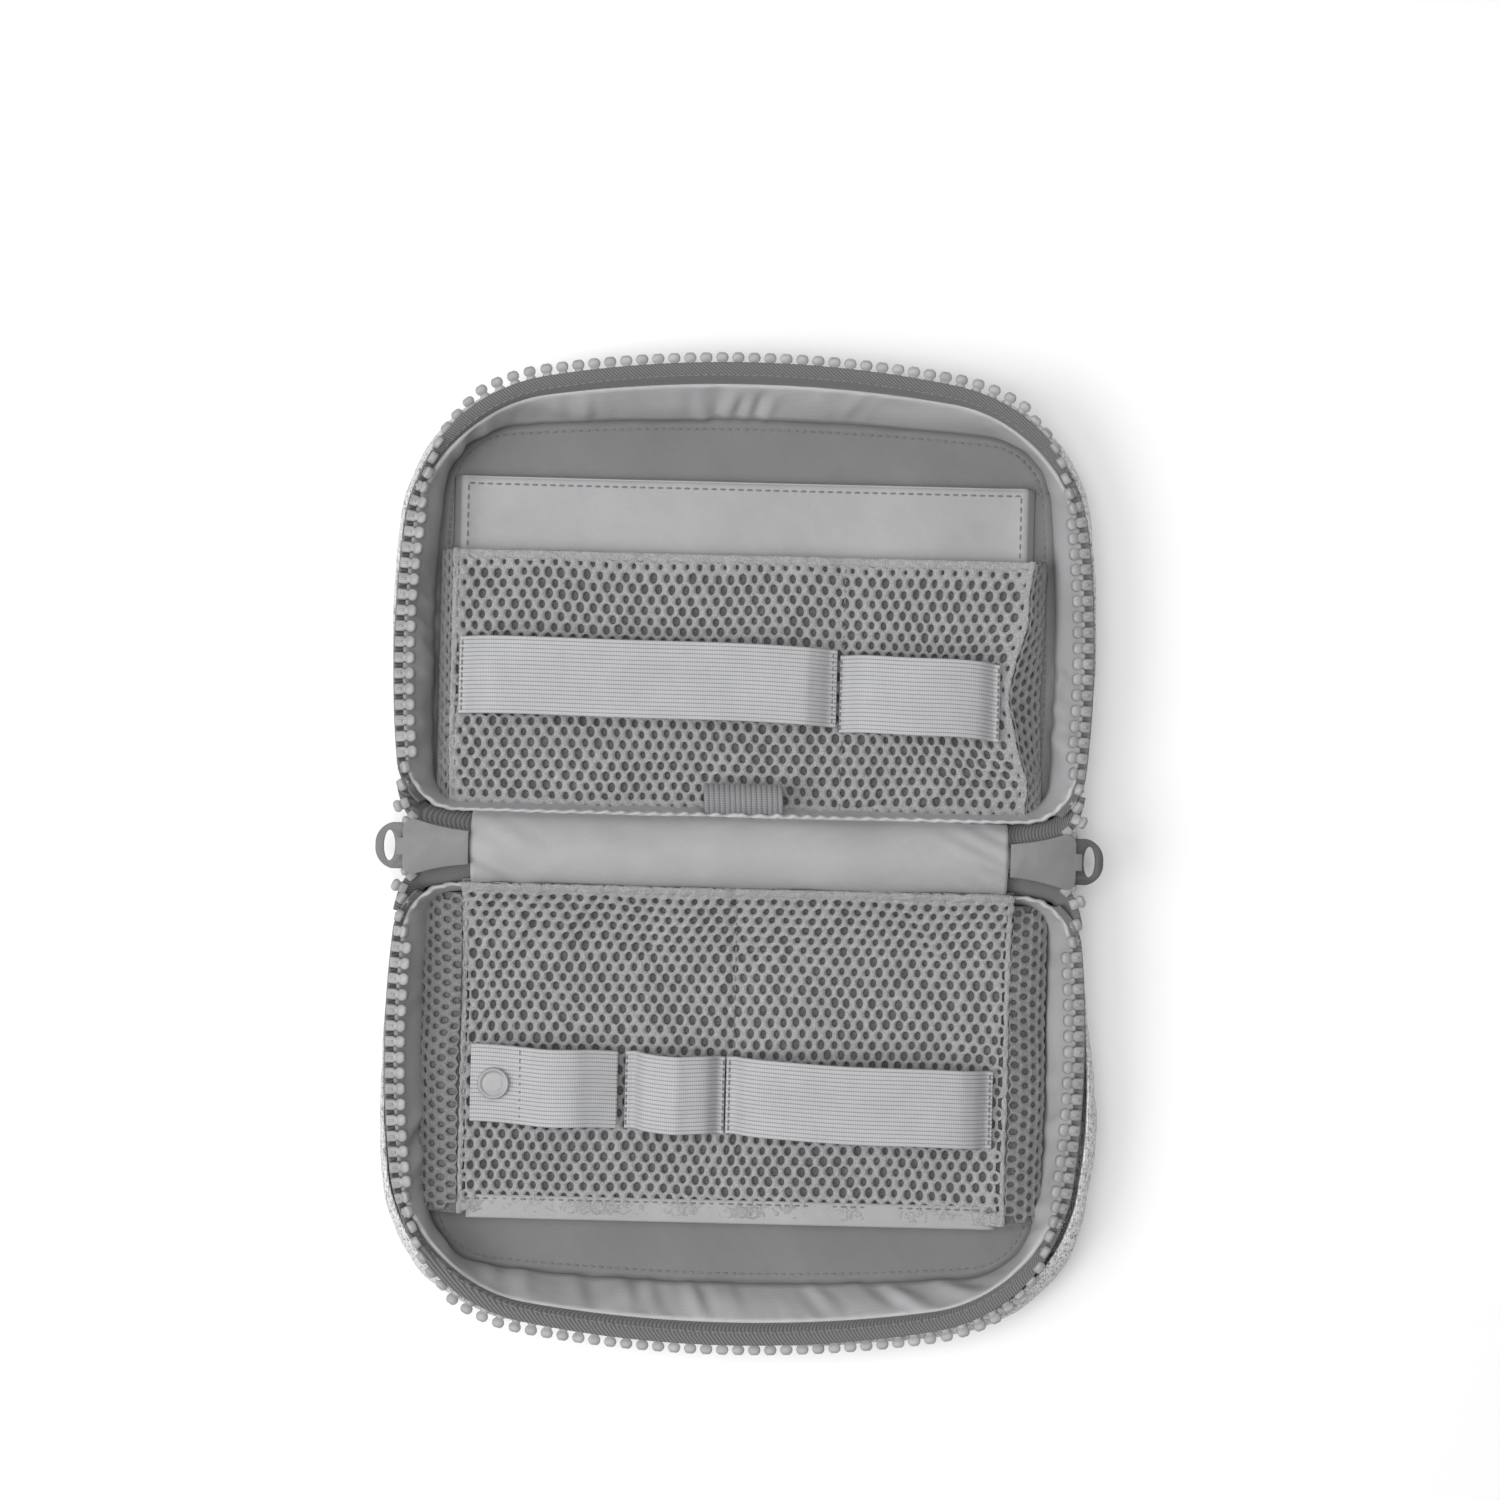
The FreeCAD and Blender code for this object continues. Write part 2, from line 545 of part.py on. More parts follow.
def zip_end(sign):
    """The closed stretch of zip between the slider's plates: tape, locked teeth and the end stop."""
    tape = box(sign * STUB_FROM, sign * STUB_TO, -STUB_HALF, STUB_HALF, ZIP_Z - 0.4, ZIP_Z + 0.4)
    stop_to = STUB_FROM + STOP_LENGTH
    solids = [box(sign * STUB_FROM, sign * stop_to, -2.8, 2.8, ZIP_Z - 1.3, ZIP_Z + 1.3)]
    for i in range(5):
        x = stop_to + 1.0 + i * TOOTH_PITCH / 2
        shift = 0.9 if i % 2 else -0.9
        solids.append(box(sign * x, sign * (x + 2.0), shift - 2.2, shift + 2.2, ZIP_Z - 1.2, ZIP_Z + 1.2))
    return tape.multiFuse(solids).removeSplitter()


def build():
    nodes = {}
    for name, half in (("base", BASE), ("lid", LID)):
        for piece, shape in tray(half).items():
            nodes[f"{name}_{piece}"] = shape
        nodes[f"{name}_zip_tape"] = zip_tape(half)
        nodes[f"{name}_zip_teeth"] = zip_teeth(half)
    nodes["spine_panel"], nodes["spine_lining"] = spine_strip()
    front, left, right, binding = base_mesh()
    nodes["base_mesh_front"], nodes["base_mouth_binding"] = front, binding
    nodes["base_mesh_gusset_left"], nodes["base_mesh_gusset_right"] = left, right
    nodes["lid_slip_pocket"] = patch_pocket(SLIP, LINING_T, LID)
    nodes["lid_mesh_pocket"] = patch_pocket(LID_MESH, MESH_T, LID)
    base_top, lid_top = BASE_MESH["top"], LID_MESH["top"]
    nodes["base_elastic_small"] = arch(*SMALL_LOOP, BASE_BAND_Y, base_top, BASE_LOOP_RISE - 1.2, BASE)
    nodes["base_elastic_large"] = arch(*LARGE_LOOP, BASE_BAND_Y, base_top, BASE_LOOP_RISE - 1.2, BASE)
    nodes["lid_elastic_long"] = arch(*LONG_LOOP, LID_BAND_Y, lid_top, LID_LOOP_RISE - 1.2, LID)
    nodes["lid_elastic_short"] = arch(*SHORT_LOOP, SHORT_BAND_Y, lid_top, LID_LOOP_RISE - 1.2, LID)
    nodes["pen_loop"] = pen_loop()
    nodes["snap_strap"] = snap_strap()
    nodes["snap_cap"], nodes["snap_socket"], nodes["snap_stud"], nodes["snap_washer"] = snap_parts()
    for name, sign in (("left", LEFT), ("right", RIGHT)):
        nodes[f"{name}_slider"] = slider(sign)
        nodes[f"{name}_slider_bridge"] = bridge(sign)
        nodes[f"{name}_pull"] = pull(sign)
        nodes[f"{name}_zip_end"] = zip_end(sign)
    return nodes


os.makedirs("parts", exist_ok=True)
for node, shape in build().items():
    shape.exportStep(f"parts/{node}.step")
    print(node, len(shape.Solids), round(shape.Volume, 1), shape.isValid())
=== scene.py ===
"""Looks of the cable organizer pouch: cloth, mesh, elastic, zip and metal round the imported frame.

Geometry is worked out in millimetres, in the frame's axes, and turned into metres by make().
A half is BASE (y below 0) or LID (y above 0). "Reach" is the distance from the hinge line, along y.
"""
import json
import math

import bmesh
import bpy
import numpy as np
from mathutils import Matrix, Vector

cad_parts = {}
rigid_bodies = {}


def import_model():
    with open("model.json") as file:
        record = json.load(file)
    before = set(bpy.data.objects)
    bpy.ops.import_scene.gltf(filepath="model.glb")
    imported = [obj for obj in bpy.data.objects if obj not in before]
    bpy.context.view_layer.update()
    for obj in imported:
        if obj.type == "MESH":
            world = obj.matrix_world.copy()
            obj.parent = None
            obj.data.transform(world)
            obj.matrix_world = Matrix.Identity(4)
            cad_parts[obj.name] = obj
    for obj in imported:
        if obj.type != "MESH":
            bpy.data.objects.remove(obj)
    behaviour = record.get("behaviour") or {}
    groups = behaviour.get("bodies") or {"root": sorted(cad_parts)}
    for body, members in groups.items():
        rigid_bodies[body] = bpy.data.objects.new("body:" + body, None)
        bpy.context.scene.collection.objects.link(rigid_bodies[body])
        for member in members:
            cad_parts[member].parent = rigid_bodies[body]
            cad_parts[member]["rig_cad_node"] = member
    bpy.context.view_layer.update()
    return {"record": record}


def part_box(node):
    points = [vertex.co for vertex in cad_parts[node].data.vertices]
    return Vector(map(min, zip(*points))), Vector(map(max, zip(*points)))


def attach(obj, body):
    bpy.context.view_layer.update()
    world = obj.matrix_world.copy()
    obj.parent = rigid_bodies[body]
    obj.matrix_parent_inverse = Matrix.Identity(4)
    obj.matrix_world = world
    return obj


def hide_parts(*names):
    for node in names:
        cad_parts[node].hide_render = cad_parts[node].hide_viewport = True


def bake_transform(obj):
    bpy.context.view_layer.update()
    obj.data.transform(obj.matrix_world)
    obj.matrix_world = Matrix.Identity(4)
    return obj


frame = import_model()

MM = 0.001
UP = (0, 0, 1)
BASE, LID = -1, 1
HALVES = {"base": BASE, "lid": LID}
SIDES = {"left": -1, "right": 1}
JOINTS = {joint["name"]: joint for joint in frame["record"]["behaviour"]["joints"]}
HINGE_Z = JOINTS["lid_fold"]["pos_m"][2] / MM


def box_mm(node):
    low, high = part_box(node)
    return np.array(low) / MM, np.array(high) / MM


# The tray's outlines, as in the CAD model: the rim, and the belt where the wall meets the floor
WIDEST = 62.0
RIM = dict(half_width=113.6, near=8.2, far=157.0, side_r=280.0, far_r=322.0, corner_r=58.0, near_r=22.0)
BELT = dict(half_width=105.6, near=11.0, far=145.0, side_r=700.0, far_r=900.0, corner_r=27.0, near_r=14.0)
BELT_Z = 6.0
RIM_Z = HINGE_Z - 1.0
FLOOR_Z = box_mm("base_floor_lining")[1][2]
SHELL_TOP = box_mm("base_outer_gusset")[1][2]
TAPE_TOP = box_mm("base_zip_tape")[1][2]
COLUMNS = 720

# Zip teeth
TOOTH_PITCH = 5.06
TOOTH_LENGTH = 6.4
TOOTH_THICK = 2.4
LEAN_SIDE, LEAN_FAR, LEAN_END = -74.0, 73.0, 40.0
TEETH_FROM, TEETH_TURN = 17.0, 30.0

# Spacer mesh
CELL_WIDTH, CELL_RISE = 4.15, 3.4
HOLE_HALF = (1.14, 1.68)


# ---------------------------------------------------------------- meshes

def make(name, points, faces, material, body=None):
    """A mesh piece from millimetre points. Its normals are made to point outward."""
    mesh = bpy.data.meshes.new(name)
    mesh.from_pydata((np.asarray(points) * MM).tolist(), [], [tuple(int(i) for i in face) for face in faces])
    work = bmesh.new()
    work.from_mesh(mesh)
    bmesh.ops.recalc_face_normals(work, faces=work.faces)
    work.to_mesh(mesh)
    work.free()
    mesh.polygons.foreach_set("use_smooth", [True] * len(mesh.polygons))
    mesh.materials.append(material)
    piece = bpy.data.objects.new(name, mesh)
    bpy.context.scene.collection.objects.link(piece)
    if body:
        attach(piece, body)
    return piece


def normals(grid, wrap):
    """Unit normals of a (rows, columns, 3) grid."""
    if wrap:
        padded_grid = np.concatenate([grid[:, -1:], grid, grid[:, :1]], axis=1)
        across = (padded_grid[:, 2:] - padded_grid[:, :-2])
    else:
        across = np.gradient(grid, axis=1)
    along = np.gradient(grid, axis=0)
    normal = np.cross(along, across)
    return normal / np.maximum(np.linalg.norm(normal, axis=2, keepdims=True), 1e-9)


def strip_faces(rows, columns, wrap, first=0):
    count = columns if wrap else columns - 1
    r, c = np.meshgrid(np.arange(rows - 1), np.arange(count), indexing="ij")
    right = (c + 1) % columns
    quads = [r * columns + c, r * columns + right, (r + 1) * columns + right, (r + 1) * columns + c]
    return (np.stack(quads, -1).reshape(-1, 4) + first).tolist()


def sheet_piece(name, grid, thickness, material, body=None, wrap=False, cap=False):
    """Cloth of even thickness on a grid. With wrap it runs all round, and cap closes the hole at row 0."""
    rows, columns = grid.shape[:2]
    offset = normals(grid, wrap) * thickness / 2
    size = rows * columns
    points = np.concatenate([(grid + offset).reshape(-1, 3), (grid - offset).reshape(-1, 3)])
    faces = strip_faces(rows, columns, wrap) + strip_faces(rows, columns, wrap, size)
    last = (rows - 1) * columns
    for c in range(columns if wrap else columns - 1):
        d = (c + 1) % columns
        faces.append((last + c, last + d, size + last + d, size + last + c))
        if not cap:
            faces.append((c, d, size + d, size + c))
    if not wrap:
        for r in range(rows - 1):
            for edge in (0, columns - 1):
                a, b = r * columns + edge, (r + 1) * columns + edge
                faces.append((a, b, size + b, size + a))
    if cap:
        faces.append(list(range(columns)))
        faces.append(list(range(size, size + columns)))
    return make(name, points, faces, material, body)


def ripple(x, y, size, seed):
    """Smooth unevenness between about -1 and 1, with features of the given size."""
    waves = 9
    rng = np.random.default_rng(seed)
    total = np.zeros(np.broadcast(x, y).shape)
    for _ in range(waves):
        turn, phase = rng.uniform(0, 2 * math.pi, 2)
        pace = 2 * math.pi / (size * rng.uniform(0.7, 1.8))
        total += np.sin(pace * (x * math.cos(turn) + y * math.sin(turn)) + phase)
    return total / math.sqrt(waves * 2)


def smooth_step(t):
    t = np.clip(t, 0, 1)
    return t * t * (3 - 2 * t)


def spline(points, count):
    """Points evenly spaced along a smooth curve through the given ones."""
    p = np.asarray(points, float)
    p = np.concatenate([[2 * p[0] - p[1]], p, [2 * p[-1] - p[-2]]])
    out = []
    for i in range(1, len(p) - 2):
        t = np.linspace(0, 1, 24, endpoint=False)[:, None]
        a, b, c, d = p[i - 1], p[i], p[i + 1], p[i + 2]
        out.append(0.5 * (2 * b + (c - a) * t + (2 * a - 5 * b + 4 * c - d) * t**2 + (3 * b - a - 3 * c + d) * t**3))
    return even(np.concatenate([*out, p[-2:-1]]), count)


def run_length(line):
    """The length of a polyline."""
    return float(np.linalg.norm(np.diff(np.asarray(line), axis=0), axis=1).sum())


def looped(line):
    """A closed outline with its first point repeated at the end."""
    return np.concatenate([line, line[:1]])


def even(line, count):
    """A polyline resampled to count evenly spaced points."""
    steps = np.concatenate([[0], np.cumsum(np.linalg.norm(np.diff(line, axis=0), axis=1))])
    wanted = np.linspace(0, steps[-1], count)
    return np.stack([np.interp(wanted, steps, line[:, k]) for k in range(line.shape[1])], -1)


# ---------------------------------------------------------------- tray outlines

def towards(a, b, distance):
    d = math.hypot(b[0] - a[0], b[1] - a[1])
    return (a[0] + (b[0] - a[0]) * distance / d, a[1] + (b[1] - a[1]) * distance / d)


def circles_meet(a, ra, b, rb):
    dx, dy = b[0] - a[0], b[1] - a[1]
    d = math.hypot(dx, dy)
    along = (ra * ra - rb * rb + d * d) / (2 * d)
    across = math.sqrt(ra * ra - along * along)
    mx, my = a[0] + dx * along / d, a[1] + dy * along / d
    return max([(mx - dy * across / d, my + dx * across / d), (mx + dy * across / d, my - dx * across / d)])


def arc(p, q, centre, count):
    a = math.atan2(p[1] - centre[1], p[0] - centre[0])
    b = math.atan2(q[1] - centre[1], q[0] - centre[0])
    r = math.hypot(p[0] - centre[0], p[1] - centre[1])
    t = np.linspace(a, b, count)
    return np.stack([centre[0] + r * np.cos(t), centre[1] + r * np.sin(t)], -1)


def open_outline(dims, inset):
    """The tray's edge as (x, reach), from the right end of the straight near side round to its left end."""
    side_r, far_r, corner_r, near_r = (dims[k] for k in ("side_r", "far_r", "corner_r", "near_r"))
    side_c = (dims["half_width"] - side_r, WIDEST)
    far_c = (0.0, dims["far"] - far_r)
    near_y = dims["near"] + near_r
    near_c = (side_c[0] + math.sqrt((side_r - near_r) ** 2 - (near_y - WIDEST) ** 2), near_y)
    corner_c = circles_meet(side_c, side_r - corner_r, far_c, far_r - corner_r)
    near_end = (near_c[0], dims["near"] + inset)
    near_side = towards(side_c, near_c, side_r - inset)
    side_corner = towards(side_c, corner_c, side_r - inset)
    corner_far = towards(far_c, corner_c, far_r - inset)
    right = np.concatenate([
        arc(near_end, near_side, near_c, 60),
        arc(near_side, side_corner, side_c, 80)[1:],
        arc(side_corner, corner_far, corner_c, 90)[1:],
        arc(corner_far, (0.0, dims["far"] - inset), far_c, 60)[1:],
    ])
    return np.concatenate([right, right[-2::-1] * (-1, 1)])


def rim_dims(z):
    t = (z - BELT_Z) / (RIM_Z - BELT_Z)
    return {key: BELT[key] + (RIM[key] - BELT[key]) * t for key in RIM}


THETA = np.linspace(-math.pi / 2, 1.5 * math.pi, COLUMNS, endpoint=False)


def ring(dims, inset, z, half, scale=1.0):
    """The closed outline at COLUMNS even angles about its middle, as points of one level."""
    line = open_outline(dims, inset)
    near = np.linspace(line[-1], line[0], 40)[1:-1]
    loop = np.concatenate([near[len(near) // 2:], line, near[:len(near) // 2]])
    angle = np.unwrap(np.arctan2(loop[:, 1] - WIDEST, loop[:, 0]))
    radius = np.hypot(loop[:, 0], loop[:, 1] - WIDEST)
    base = np.interp(THETA, angle, radius, period=2 * math.pi) * scale
    return np.stack([base * np.cos(THETA), half * (WIDEST + base * np.sin(THETA)), np.full(COLUMNS, z)], -1)


def level_rings(profile, half, steps):
    """Rings through a profile of (dims, inset, z) levels, eased between them."""
    keys = np.stack([ring(dims, inset, z, half) for dims, inset, z in profile])
    rows = []
    for i in range(len(keys) - 1):
        p = [keys[max(i - 1, 0)], keys[i], keys[i + 1], keys[min(i + 2, len(keys) - 1)]]
        for t in np.linspace(0, 1, steps, endpoint=False):
            rows.append(0.5 * (2 * p[1] + (p[2] - p[0]) * t + (2 * p[0] - 5 * p[1] + 4 * p[2] - p[3]) * t**2
                               + (3 * p[1] - p[0] - 3 * p[2] + p[3]) * t**3))
    return np.stack([*rows, keys[-1]])


def floor_rings(dims, inset, z, half):
    return np.stack([ring(dims, inset, z, half, scale) for scale in np.linspace(0.03, 0.97, 20)])


def outward(grid, half):
    """Horizontal unit vectors pointing away from the middle of a tray."""
    away = grid[..., :2] - (0.0, half * WIDEST)
    away = away / np.linalg.norm(away, axis=-1, keepdims=True)
    return np.concatenate([away, np.zeros(away.shape[:-1] + (1,))], -1)


# ---------------------------------------------------------------- cloth simulation

def settle(grid, pinned, slack, frames, gravity):
    """A grid of cloth after a short simulation, held at the pinned points and cut larger by its slack."""
    rows, columns = grid.shape[:2]
    scale = 10.0
    mesh = bpy.data.meshes.new("settling")
    mesh.from_pydata((grid.reshape(-1, 3) * MM * scale).tolist(), [], strip_faces(rows, columns, False))
    cloth = bpy.data.objects.new("settling", mesh)
    scene = bpy.context.scene
    scene.collection.objects.link(cloth)
    group = cloth.vertex_groups.new(name="pinned")
    group.add(np.flatnonzero(pinned.reshape(-1)).tolist(), 1.0, "REPLACE")
    modifier = cloth.modifiers.new("cloth", "CLOTH")
    settings = modifier.settings
    settings.quality = 6
    settings.mass = 0.25
    settings.tension_stiffness = settings.compression_stiffness = 12.0
    settings.shear_stiffness = 6.0
    settings.bending_stiffness = 1.2
    settings.air_damping = 3.0
    settings.vertex_group_mass = "pinned"
    settings.shrink_min = -slack
    settings.effector_weights.gravity = gravity
    modifier.point_cache.frame_start, modifier.point_cache.frame_end = 1, frames
    for number in range(1, frames + 1):
        scene.frame_set(number)
    settled = cloth.evaluated_get(bpy.context.evaluated_depsgraph_get()).to_mesh()
    points = np.empty(rows * columns * 3, np.float32)
    settled.vertices.foreach_get("co", points)
    scene.frame_set(1)
    bpy.data.objects.remove(cloth)
    result = points.reshape(rows, columns, 3).astype(float) / (MM * scale)
    return result if np.isfinite(result).all() else grid


def capped(settled, start, most):
    """The settled grid, with no point further than most from where it started."""
    move = settled - start
    length = np.linalg.norm(move, axis=-1, keepdims=True)
    return start + move * np.minimum(1.0, most / np.maximum(length, 1e-9))


def sewn_edges(rows, columns):
    """Which points of a pocket's grid are held: all its edges but the mouth, which is the last row."""
    mask = np.zeros((rows, columns), bool)
    mask[0] = mask[:, 0] = mask[:, -1] = True
    return mask


def sampler(grid, u_range, v_range):
    """A function that gives points and normals on a grid whose columns span u_range and rows span v_range."""
    rows, columns = grid.shape[:2]
    field = np.concatenate([grid, normals(grid, False)], -1)

    def at(u, v):
        c = np.clip((u - u_range[0]) / (u_range[1] - u_range[0]), 0, 1) * (columns - 1)
        r = np.clip((v - v_range[0]) / (v_range[1] - v_range[0]), 0, 1) * (rows - 1)
        c0, r0 = np.minimum(c.astype(int), columns - 2), np.minimum(r.astype(int), rows - 2)
        fc, fr = (c - c0)[..., None], (r - r0)[..., None]
        top = field[r0, c0] * (1 - fc) + field[r0, c0 + 1] * fc
        low = field[r0 + 1, c0] * (1 - fc) + field[r0 + 1, c0 + 1] * fc
        both = top * (1 - fr) + low * fr
        normal = both[..., 3:]
        return both[..., :3], normal / np.linalg.norm(normal, axis=-1, keepdims=True)

    return at


# ---------------------------------------------------------------- textiles

def perforated(name, at, u_range, v_range, thickness, material, body, closed=None):
    """Knitted spacer mesh: a lattice of six-sided cells with an oval hole in each.

    closed(u, v) goes from 0, a full hole, to 1, a hole that the knit has drawn shut.
    """
    half_w = CELL_WIDTH / 2
    tall, short = CELL_RISE * 0.64, CELL_RISE * 0.36
    corners = [(0, tall), (half_w, short), (half_w, -short), (0, -tall), (-half_w, -short), (-half_w, short)]
    rim = []
    for i, corner in enumerate(corners):
        after = corners[(i + 1) % 6]
        rim += [corner, ((corner[0] + after[0]) / 2, (corner[1] + after[1]) / 2)]
    rim = np.array(rim)
    turn = np.arctan2(rim[:, 1] / HOLE_HALF[1], rim[:, 0] / HOLE_HALF[0])
    hole = np.stack([HOLE_HALF[0] * np.cos(turn), HOLE_HALF[1] * np.sin(turn)], -1)
    rows = int((v_range[1] - v_range[0]) / CELL_RISE)
    columns = int((u_range[1] - u_range[0]) / CELL_WIDTH)
    r, c = np.meshgrid(np.arange(rows), np.arange(columns), indexing="ij")
    u = (u_range[0] + (c + 0.5 + 0.5 * (r % 2)) * CELL_WIDTH).reshape(-1)
    v = (v_range[0] + (r + 0.5) * CELL_RISE).reshape(-1)
    u = u + 0.22 * ripple(u, v, 9, 5)
    v = v + 0.22 * ripple(u, v, 8, 6)
    lattice_u = (u_range[0] + (c + 0.5 + 0.5 * (r % 2)) * CELL_WIDTH).reshape(-1)
    lattice_v = (v_range[0] + (r + 0.5) * CELL_RISE).reshape(-1)
    rng = np.random.default_rng(11)
    size = rng.uniform(0.74, 1.06, (len(u), 1, 1))
    if closed is not None:
        size = size * (1 - 0.78 * closed(u, v))[:, None, None]
    outer = np.stack([lattice_u, lattice_v], -1)[:, None] + rim
    opening = np.stack([u, v], -1)[:, None] + hole * size
    for part in (outer, opening):
        wander_u = 0.8 * ripple(part[..., 0], part[..., 1], 38, 12)
        wander_v = 0.7 * ripple(part[..., 0], part[..., 1], 42, 13)
        part[..., 0] += wander_u
        part[..., 1] += wander_v
    middle = outer * 0.45 + opening * 0.55
    rings = [(outer, 0.62), (middle, 0.46), (opening, 0.0), (opening, -0.34), (outer, -0.5)]
    lift = 0.16 * thickness * ripple(outer[..., 0], outer[..., 1], 3.4, 8)
    uv = np.concatenate([np.clip(a, (u_range[0], v_range[0]), (u_range[1], v_range[1])) for a, _ in rings], 1)
    height = np.concatenate([np.full(outer.shape[:2], h * thickness) for _, h in rings], 1)
    height[:, :12] += lift
    cells, per = uv.shape[:2]
    place, normal = at(uv[..., 0], uv[..., 1])
    up = np.sign(normal[..., 2:].mean()) or 1.0
    points = (place + normal * up * height[..., None]).reshape(-1, 3)
    key = np.round(np.concatenate([uv.reshape(-1, 2), height.reshape(-1, 1)], 1) * 200).astype(np.int64)
    _, first, index = np.unique(key, axis=0, return_index=True, return_inverse=True)
    index = index.reshape(cells, per)
    k = np.arange(12)
    after = (k + 1) % 12
    quads = []
    for a, b in ((0, 12), (12, 24), (24, 36), (36, 48)):
        quads.append(np.stack([index[:, a + k], index[:, a + after], index[:, b + after], index[:, b + k]], -1))
    quads = np.concatenate(quads).reshape(-1, 4)
    edges = np.sort(np.stack([index[:, k], index[:, after]], -1).reshape(-1, 2), axis=1)
    _, which, uses = np.unique(edges, axis=0, return_inverse=True, return_counts=True)
    lone = (uses[which.reshape(-1)] == 1).reshape(cells, 12)
    border = np.stack([index[:, after], index[:, k], index[:, 48 + k], index[:, 48 + after]], -1)[lone]
    faces = []
    for quad in np.concatenate([quads, border]).tolist():
        face = [v for i, v in enumerate(quad) if v != quad[i - 1]]
        if len(set(face)) == len(face) >= 3:
            faces.append(face)
    return make(name, points[first], faces, material, body)


def webbing(name, path, across, material, body, ribs=19, thickness=1.2, rib=0.32, bow=0.0):
    """Ribbed elastic swept along a path. Its ribs run along it, and across is its whole width as a vector."""
    path, across = np.asarray(path, float), np.asarray(across, float)
    samples = ribs * 6 + 1
    t = np.linspace(0, 1, samples)
    ridge = rib * (np.abs(np.sin(math.pi * ribs * t)) ** 0.7 - 0.5)
    edge = 1 - np.clip(np.minimum(t, 1 - t) / 0.012, 0, 1)
    face = thickness / 2 * (1 - 0.55 * edge) + ridge
    up = np.concatenate([face, -face[::-1]])
    side = np.concatenate([t, t[::-1]])
    ahead = np.gradient(path, axis=0)
    normal = np.cross(ahead, across)
    normal /= np.linalg.norm(normal, axis=1, keepdims=True)
    step = np.linspace(0, 1, len(path))
    waver = 0.25 * np.sin(step * 9.0 + 0.7) + bow * np.sin(math.pi * step)
    unit = across / np.linalg.norm(across)
    points = (path[:, None] + (side - 0.5)[None, :, None] * across + waver[:, None, None] * unit
              + up[None, :, None] * normal[:, None])
    loop = 2 * samples
    faces = strip_faces(len(path), loop, True)
    last = (len(path) - 1) * loop
    for c in range(samples - 1):
        d = loop - 1 - c
        faces += [(c, c + 1, d - 1, d), (last + c, last + c + 1, last + d - 1, last + d)]
    piece = make(name, points.reshape(-1, 3), faces, material, body)
    run = np.concatenate([[0], np.cumsum(np.linalg.norm(np.diff(path, axis=0), axis=1))])
    along, rung = np.meshgrid(run, side * ribs, indexing="ij")
    corner = np.empty(len(piece.data.loops), np.int32)
    piece.data.loops.foreach_get("vertex_index", corner)
    layer = piece.data.uv_layers.new(name="weave")
    layer.uv.foreach_set("vector", np.stack([along.reshape(-1)[corner], rung.reshape(-1)[corner]], -1).ravel())
    return piece


def stitches(lines, pitch=3.0, length=2.1, radius=0.27):
    """Points and faces of sewn thread: one small spindle per stitch along each line of (points, up)."""
    points, faces = [], []
    profile = [(-0.5, 0.3), (-0.32, 1.0), (0.0, 1.12), (0.32, 1.0), (0.5, 0.3)]
    sides = 6
    for line, up in lines:
        line = np.asarray(line, float)
        count = max(2, int(run_length(line) / pitch))
        fine = even(line, count * 2 + 1)
        for i in range(1, len(fine) - 1, 2):
            ahead = fine[i + 1] - fine[i - 1]
            ahead /= max(np.linalg.norm(ahead), 1e-9)
            side = np.cross(up, ahead)
            side /= max(np.linalg.norm(side), 1e-9)
            lift = np.cross(ahead, side)
            first = len(points)
            for along, r in profile:
                for k in range(sides):
                    a = 2 * math.pi * k / sides
                    points.append(fine[i] + ahead * along * length + side * radius * r * math.cos(a)
                                  + lift * radius * (0.55 * r * math.sin(a) + 0.25 - abs(along) * 1.2))
            for row in range(len(profile) - 1):
                for k in range(sides):
                    a, b = first + row * sides + k, first + row * sides + (k + 1) % sides
                    faces.append((a, b, b + sides, a + sides))
            faces.append(tuple(range(first, first + sides)))
            faces.append(tuple(range(first + (len(profile) - 1) * sides, first + len(profile) * sides)))
    return points, faces


def stitching(name, lines, material, body, **kind):
    points, faces = stitches(lines, **kind)
    return make(name, points, faces, material, body)


# ---------------------------------------------------------------- materials

